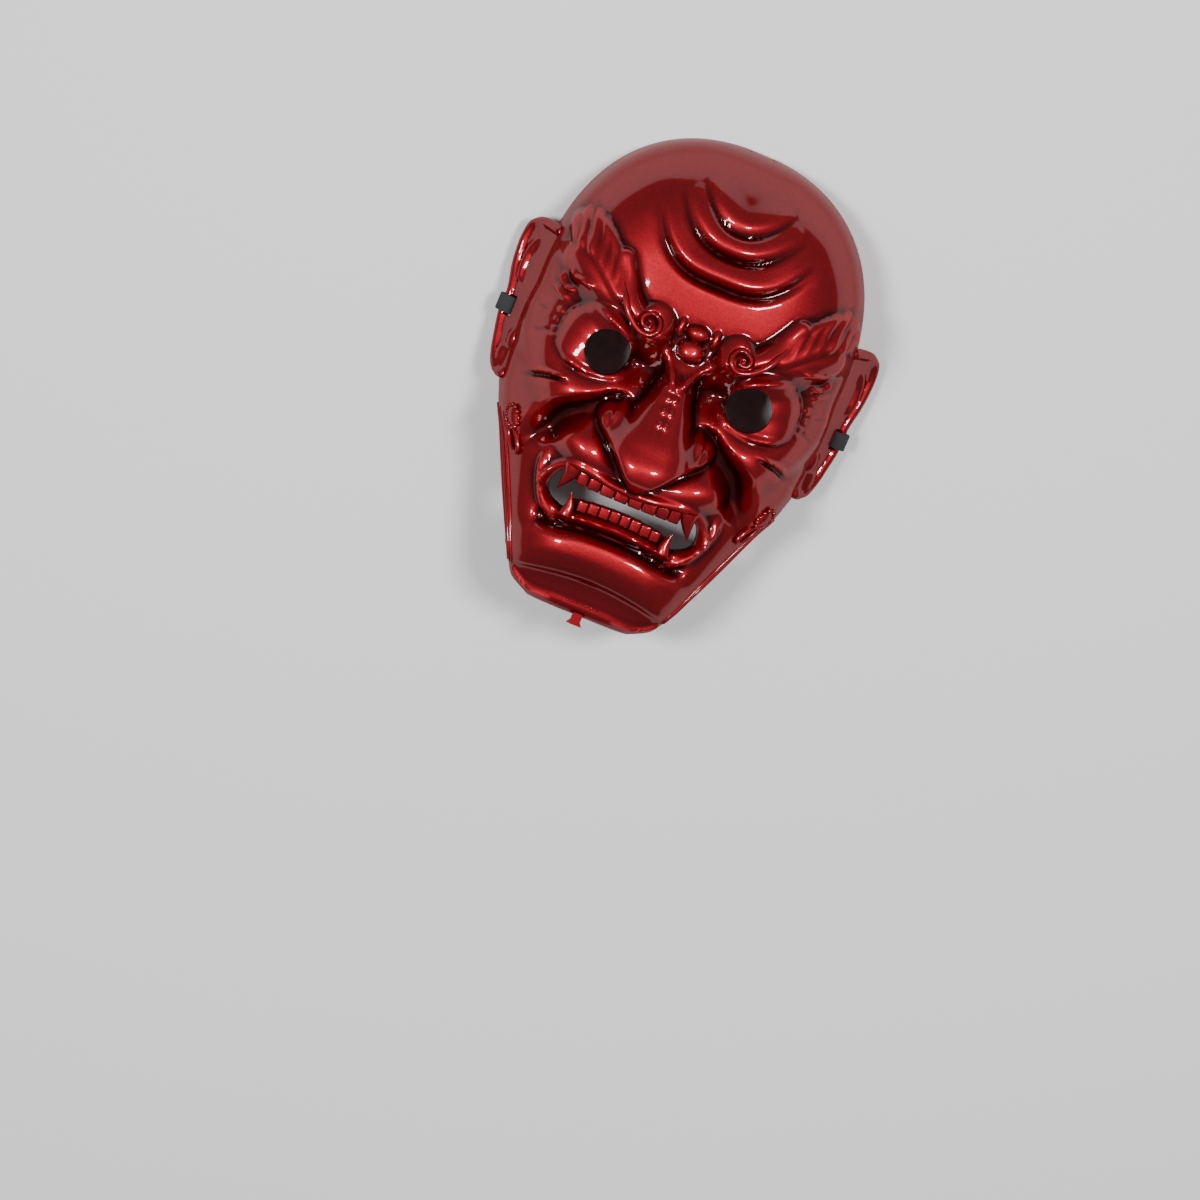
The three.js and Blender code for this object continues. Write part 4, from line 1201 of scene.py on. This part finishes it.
class OBJECT_OT_oni_head_strap(bpy.types.Operator):
    """Lays the elastic strap in a bow behind the forehead"""

    bl_idname = "object.oni_head_strap"
    bl_label = "Head strap"

    def execute(self, context):
        path = strap_route()
        count = len(path)
        wide, tall = np.full(count, STRAP_WIDTH / 2 * MM), np.full(count, STRAP_THICKNESS / 2 * MM)
        bm = rod(path, [(0, 0, 1)] * count, wide, tall, 40, 0.3)
        strap = new_piece("elastic_strap", bm, elastic_once(context.scene.oni_mask.pitch))
        lengths = np.concatenate([[0], np.cumsum(np.linalg.norm(np.diff(path, axis=0), axis=1))])
        tree = search_tree(path)
        points = vertex_points(strap.data)
        rings = np.array([tree.find(p)[1] for p in points])
        ahead = np.gradient(path, axis=0)[rings]
        away = points - path[rings]
        across = (ahead[:, 0] * away[:, 1] - ahead[:, 1] * away[:, 0]) / np.linalg.norm(ahead, axis=1)
        note_weave(strap, across, lengths[rings])
        soften(strap, 50)
        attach(strap, "root")
        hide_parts("head_strap")
        return {"FINISHED"}


class SCENE_OT_oni_stage(bpy.types.Operator):
    """Sets the floor, the lights and the camera"""

    bl_idname = "scene.oni_stage"
    bl_label = "Stage"

    def execute(self, context):
        settings = context.scene.oni_mask
        bm = bmesh.new()
        bmesh.ops.create_grid(bm, x_segments=1, y_segments=1, size=3)
        paper, _, shader = material("paper")
        shader.inputs["Base Color"].default_value = FLOOR_GREY
        shader.inputs["Roughness"].default_value = 0.9
        floor = new_piece("floor", bm, paper)
        eyes = Vector((0, SHIFT * MM, EYE_HEIGHT))
        towards, turn = camera_turn()
        camera = bpy.data.objects.new("camera", bpy.data.cameras.new("camera"))
        camera.data.lens = LENS
        camera.data.sensor_width = SENSOR
        camera.matrix_world = Matrix.Translation(eyes + settings.distance * towards) @ turn.to_4x4()
        context.scene.collection.objects.link(camera)
        context.scene.camera = camera
        world = bpy.data.worlds.new("studio")
        world.use_nodes = True
        sky = world.node_tree.nodes["Background"].inputs
        sky["Color"].default_value = (1, 1, 1, 1)
        sky["Strength"].default_value = WORLD_LIGHT
        context.scene.world = world
        for side in (-1, 1):
            light = bpy.data.lights.new("softbox", "AREA")
            light.shape = "RECTANGLE"
            light.size, light.size_y = LAMP_SIZE
            light.energy = settings.power
            angle = radians(LAMP_ANGLE)
            direction = (turn @ Vector((side * sin(angle), 0, cos(angle)))).normalized()
            lamp = bpy.data.objects.new("softbox", light)
            lamp.location = eyes + LAMP_DISTANCE * direction
            lamp.rotation_euler = direction.to_track_quat("Z", "Y").to_euler()
            context.scene.collection.objects.link(lamp)
        return {"FINISHED"}


class VIEW3D_PT_oni_mask(bpy.types.Panel):
    bl_label = "Oni Mask"
    bl_idname = "VIEW3D_PT_oni_mask"
    bl_space_type = "VIEW_3D"
    bl_region_type = "UI"
    bl_category = "Oni Mask"

    def draw(self, context):
        settings = context.scene.oni_mask
        for name in settings.__annotations__:
            self.layout.prop(settings, name)
        for operator in OPERATORS:
            self.layout.operator(operator.bl_idname)


OPERATORS = [OBJECT_OT_oni_mask, OBJECT_OT_oni_strap_loops, OBJECT_OT_oni_head_strap, SCENE_OT_oni_stage]
CLASSES = [OniMaskSettings, *OPERATORS, VIEW3D_PT_oni_mask]


def register():
    for cls in CLASSES:
        bpy.utils.register_class(cls)
    bpy.types.Scene.oni_mask = bpy.props.PointerProperty(type=OniMaskSettings)


def unregister():
    del bpy.types.Scene.oni_mask
    for cls in reversed(CLASSES):
        bpy.utils.unregister_class(cls)


def main():
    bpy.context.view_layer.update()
    register()
    bpy.ops.scene.oni_stage()
    bpy.ops.object.oni_mask()
    bpy.ops.object.oni_strap_loops()
    bpy.ops.object.oni_head_strap()


if __name__ == "__main__":
    main()
